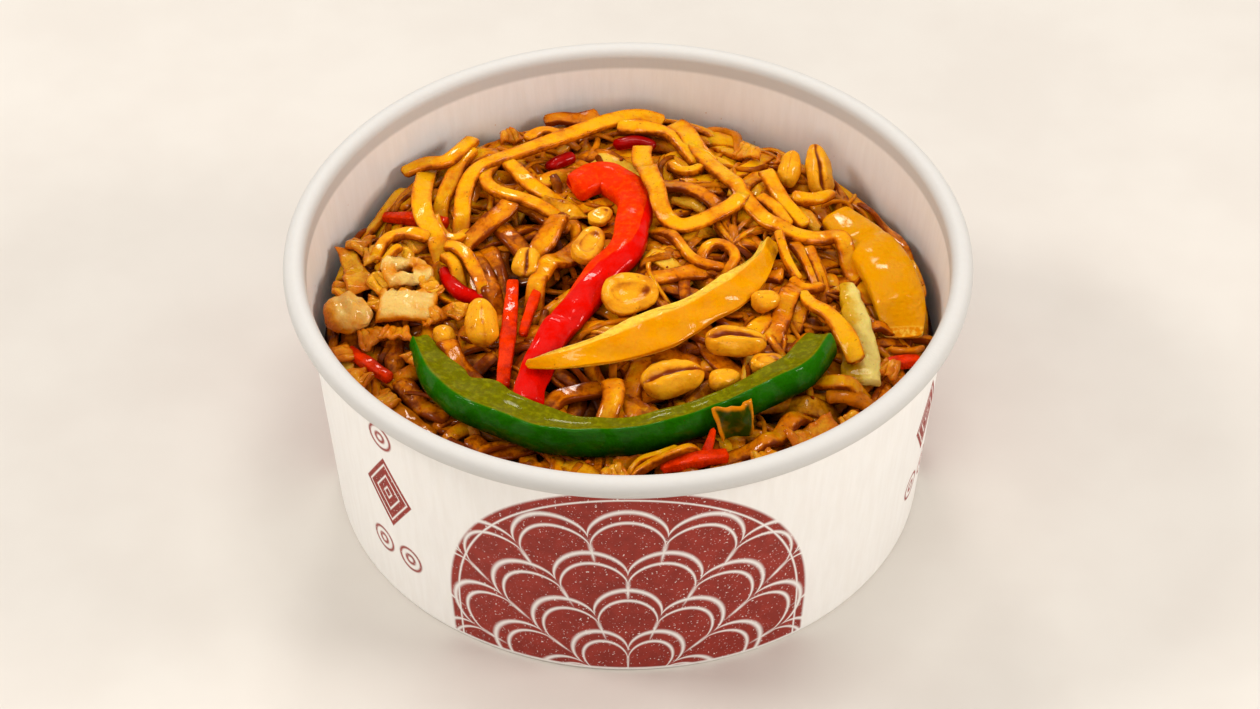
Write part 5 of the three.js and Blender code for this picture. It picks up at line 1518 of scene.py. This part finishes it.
def make_stage():
    recipe = Recipe("pale_table", {"Roughness": 0.7})
    tint = recipe.mix(recipe.grain(40.0, 3.0).rise(0.3, 0.7), (0.72, 0.68, 0.63), (0.75, 0.715, 0.665))
    mesh = bpy.data.meshes.new("table")
    corners = [(TABLE * x, TABLE * y, 0) for x, y in ((-1, -1), (1, -1), (1, 1), (-1, 1))]
    mesh.from_pydata(corners, [], [(0, 1, 2, 3)])
    mesh.materials.append(recipe.finish(tint))
    table = bpy.data.objects.new("table", mesh)
    bpy.context.scene.collection.objects.link(table)

    for name, location, size, watts, color in LIGHTS:
        data = bpy.data.lights.new(name, "AREA")
        data.shape = "RECTANGLE"
        data.size, data.size_y = size
        data.energy = watts
        data.color = color
        aim(name, data, location, (0.0, 0.0, 0.04))
    world = bpy.data.worlds.new("room")
    bpy.context.scene.world = world
    world.use_nodes = True
    background = world.node_tree.nodes["Background"]
    background.inputs["Color"].default_value = (1.0, 0.955, 0.905, 1.0)
    background.inputs["Strength"].default_value = 0.52
    view = bpy.context.scene.view_settings
    view.view_transform = "Standard"
    view.exposure = 0.06
    view.gamma = 0.9


# ---- All together ----

make_camera()
make_stage()
pile = Pile()
paper = paper_finish()
green = pepper_finish(
    "green_pepper",
    skin=(0.018, 0.15, 0.0005),
    skin_shaded=(0.004, 0.028, 0.0005),
    flesh=(0.16, 0.15, 0.0004),
    flesh_light=(0.25, 0.24, 0.001),
)
red = pepper_finish(
    "red_pepper",
    skin=(0.72, 0.005, 0.0004),
    skin_shaded=(0.32, 0.001, 0.0003),
    flesh=(0.8, 0.035, 0.0004),
    flesh_light=(0.88, 0.075, 0.001),
)
yellow = pepper_finish(
    "yellow_pepper",
    skin=(0.78, 0.34, 0.0005),
    skin_shaded=(0.68, 0.2, 0.0005),
    flesh=(0.76, 0.28, 0.0005),
    flesh_light=(0.94, 0.66, 0.09),
)
carrot = plain_wet("carrot", (0.88, 0.05, 0.0003), (0.4, 0.009, 0.0003), patch=2.4, relief=0.5, flecks=0.1)
onion = plain_wet(
    "fried_onion", (0.66, 0.21, 0.003), (0.26, 0.05, 0.001), patch=3.0, crust=(0.16, 0.024, 0.0005)
)
cabbage = plain_wet(
    "cabbage", (0.78, 0.53, 0.16), (0.72, 0.27, 0.004), patch=3.0, relief=0.4, flecks=0.25, sauce_and_shade=1.6,
    bias=0.46, crust=(0.46, 0.09, 0.001), crust_from=0.42, glaze=0.9
)
leaf = plain_wet(
    "soft_leaf", (0.86, 0.46, 0.02), (0.66, 0.19, 0.002), patch=2.4, relief=0.4, flecks=0.4, sauce_and_shade=1.2,
    bias=0.4, crust=(0.36, 0.07, 0.001), crust_from=0.6, glaze=0.8
)
green_leaf = plain_wet(
    "yellow_green_leaf", (0.84, 0.68, 0.2), (0.66, 0.36, 0.006), patch=3.4, relief=0.4, flecks=0.3,
    sauce_and_shade=1.5, bias=0.7, crust=(0.5, 0.18, 0.002), crust_from=0.7, glaze=0.5
)
nut = plain_wet(
    "roast_peanut", (0.88, 0.42, 0.012), (0.5, 0.11, 0.001), patch=4.0, relief=0.34, flecks=0.4, sauce_and_shade=1.0,
    bias=0.28, crust=(0.2, 0.026, 0.0005), crust_from=0.32, glaze=0.5
)
leek = plain_wet("leek", (0.035, 0.06, 0.001), (0.66, 0.23, 0.003), patch=4.0, sauce_and_shade=1.2)
crumb = plain_wet("spice", (0.5, 0.12, 0.003), (0.3, 0.04, 0.001), patch=2.0)
noodle = noodle_finish("noodle", (0.84, 0.42, 0.004), (0.68, 0.2, 0.001), (0.24, 0.042, 0.0005))
shred = noodle_finish("cabbage_shred", (0.88, 0.58, 0.07), (0.74, 0.32, 0.004), (0.36, 0.1, 0.001))

make_bowl(paper)
make_green_strip(pile, green)
make_red_strip(pile, red)
make_yellow_strip(pile, yellow)
make_yellow_slab(pile, yellow)
make_small_strips(pile, red, carrot, onion, leaf, green_leaf)
make_peanuts(pile, nut)
make_cabbage(pile, cabbage, leaf)
make_leaf_bits(pile, leaf)
make_leek(pile, leek)
make_noodles(pile, noodle, shred, onion, crumb)
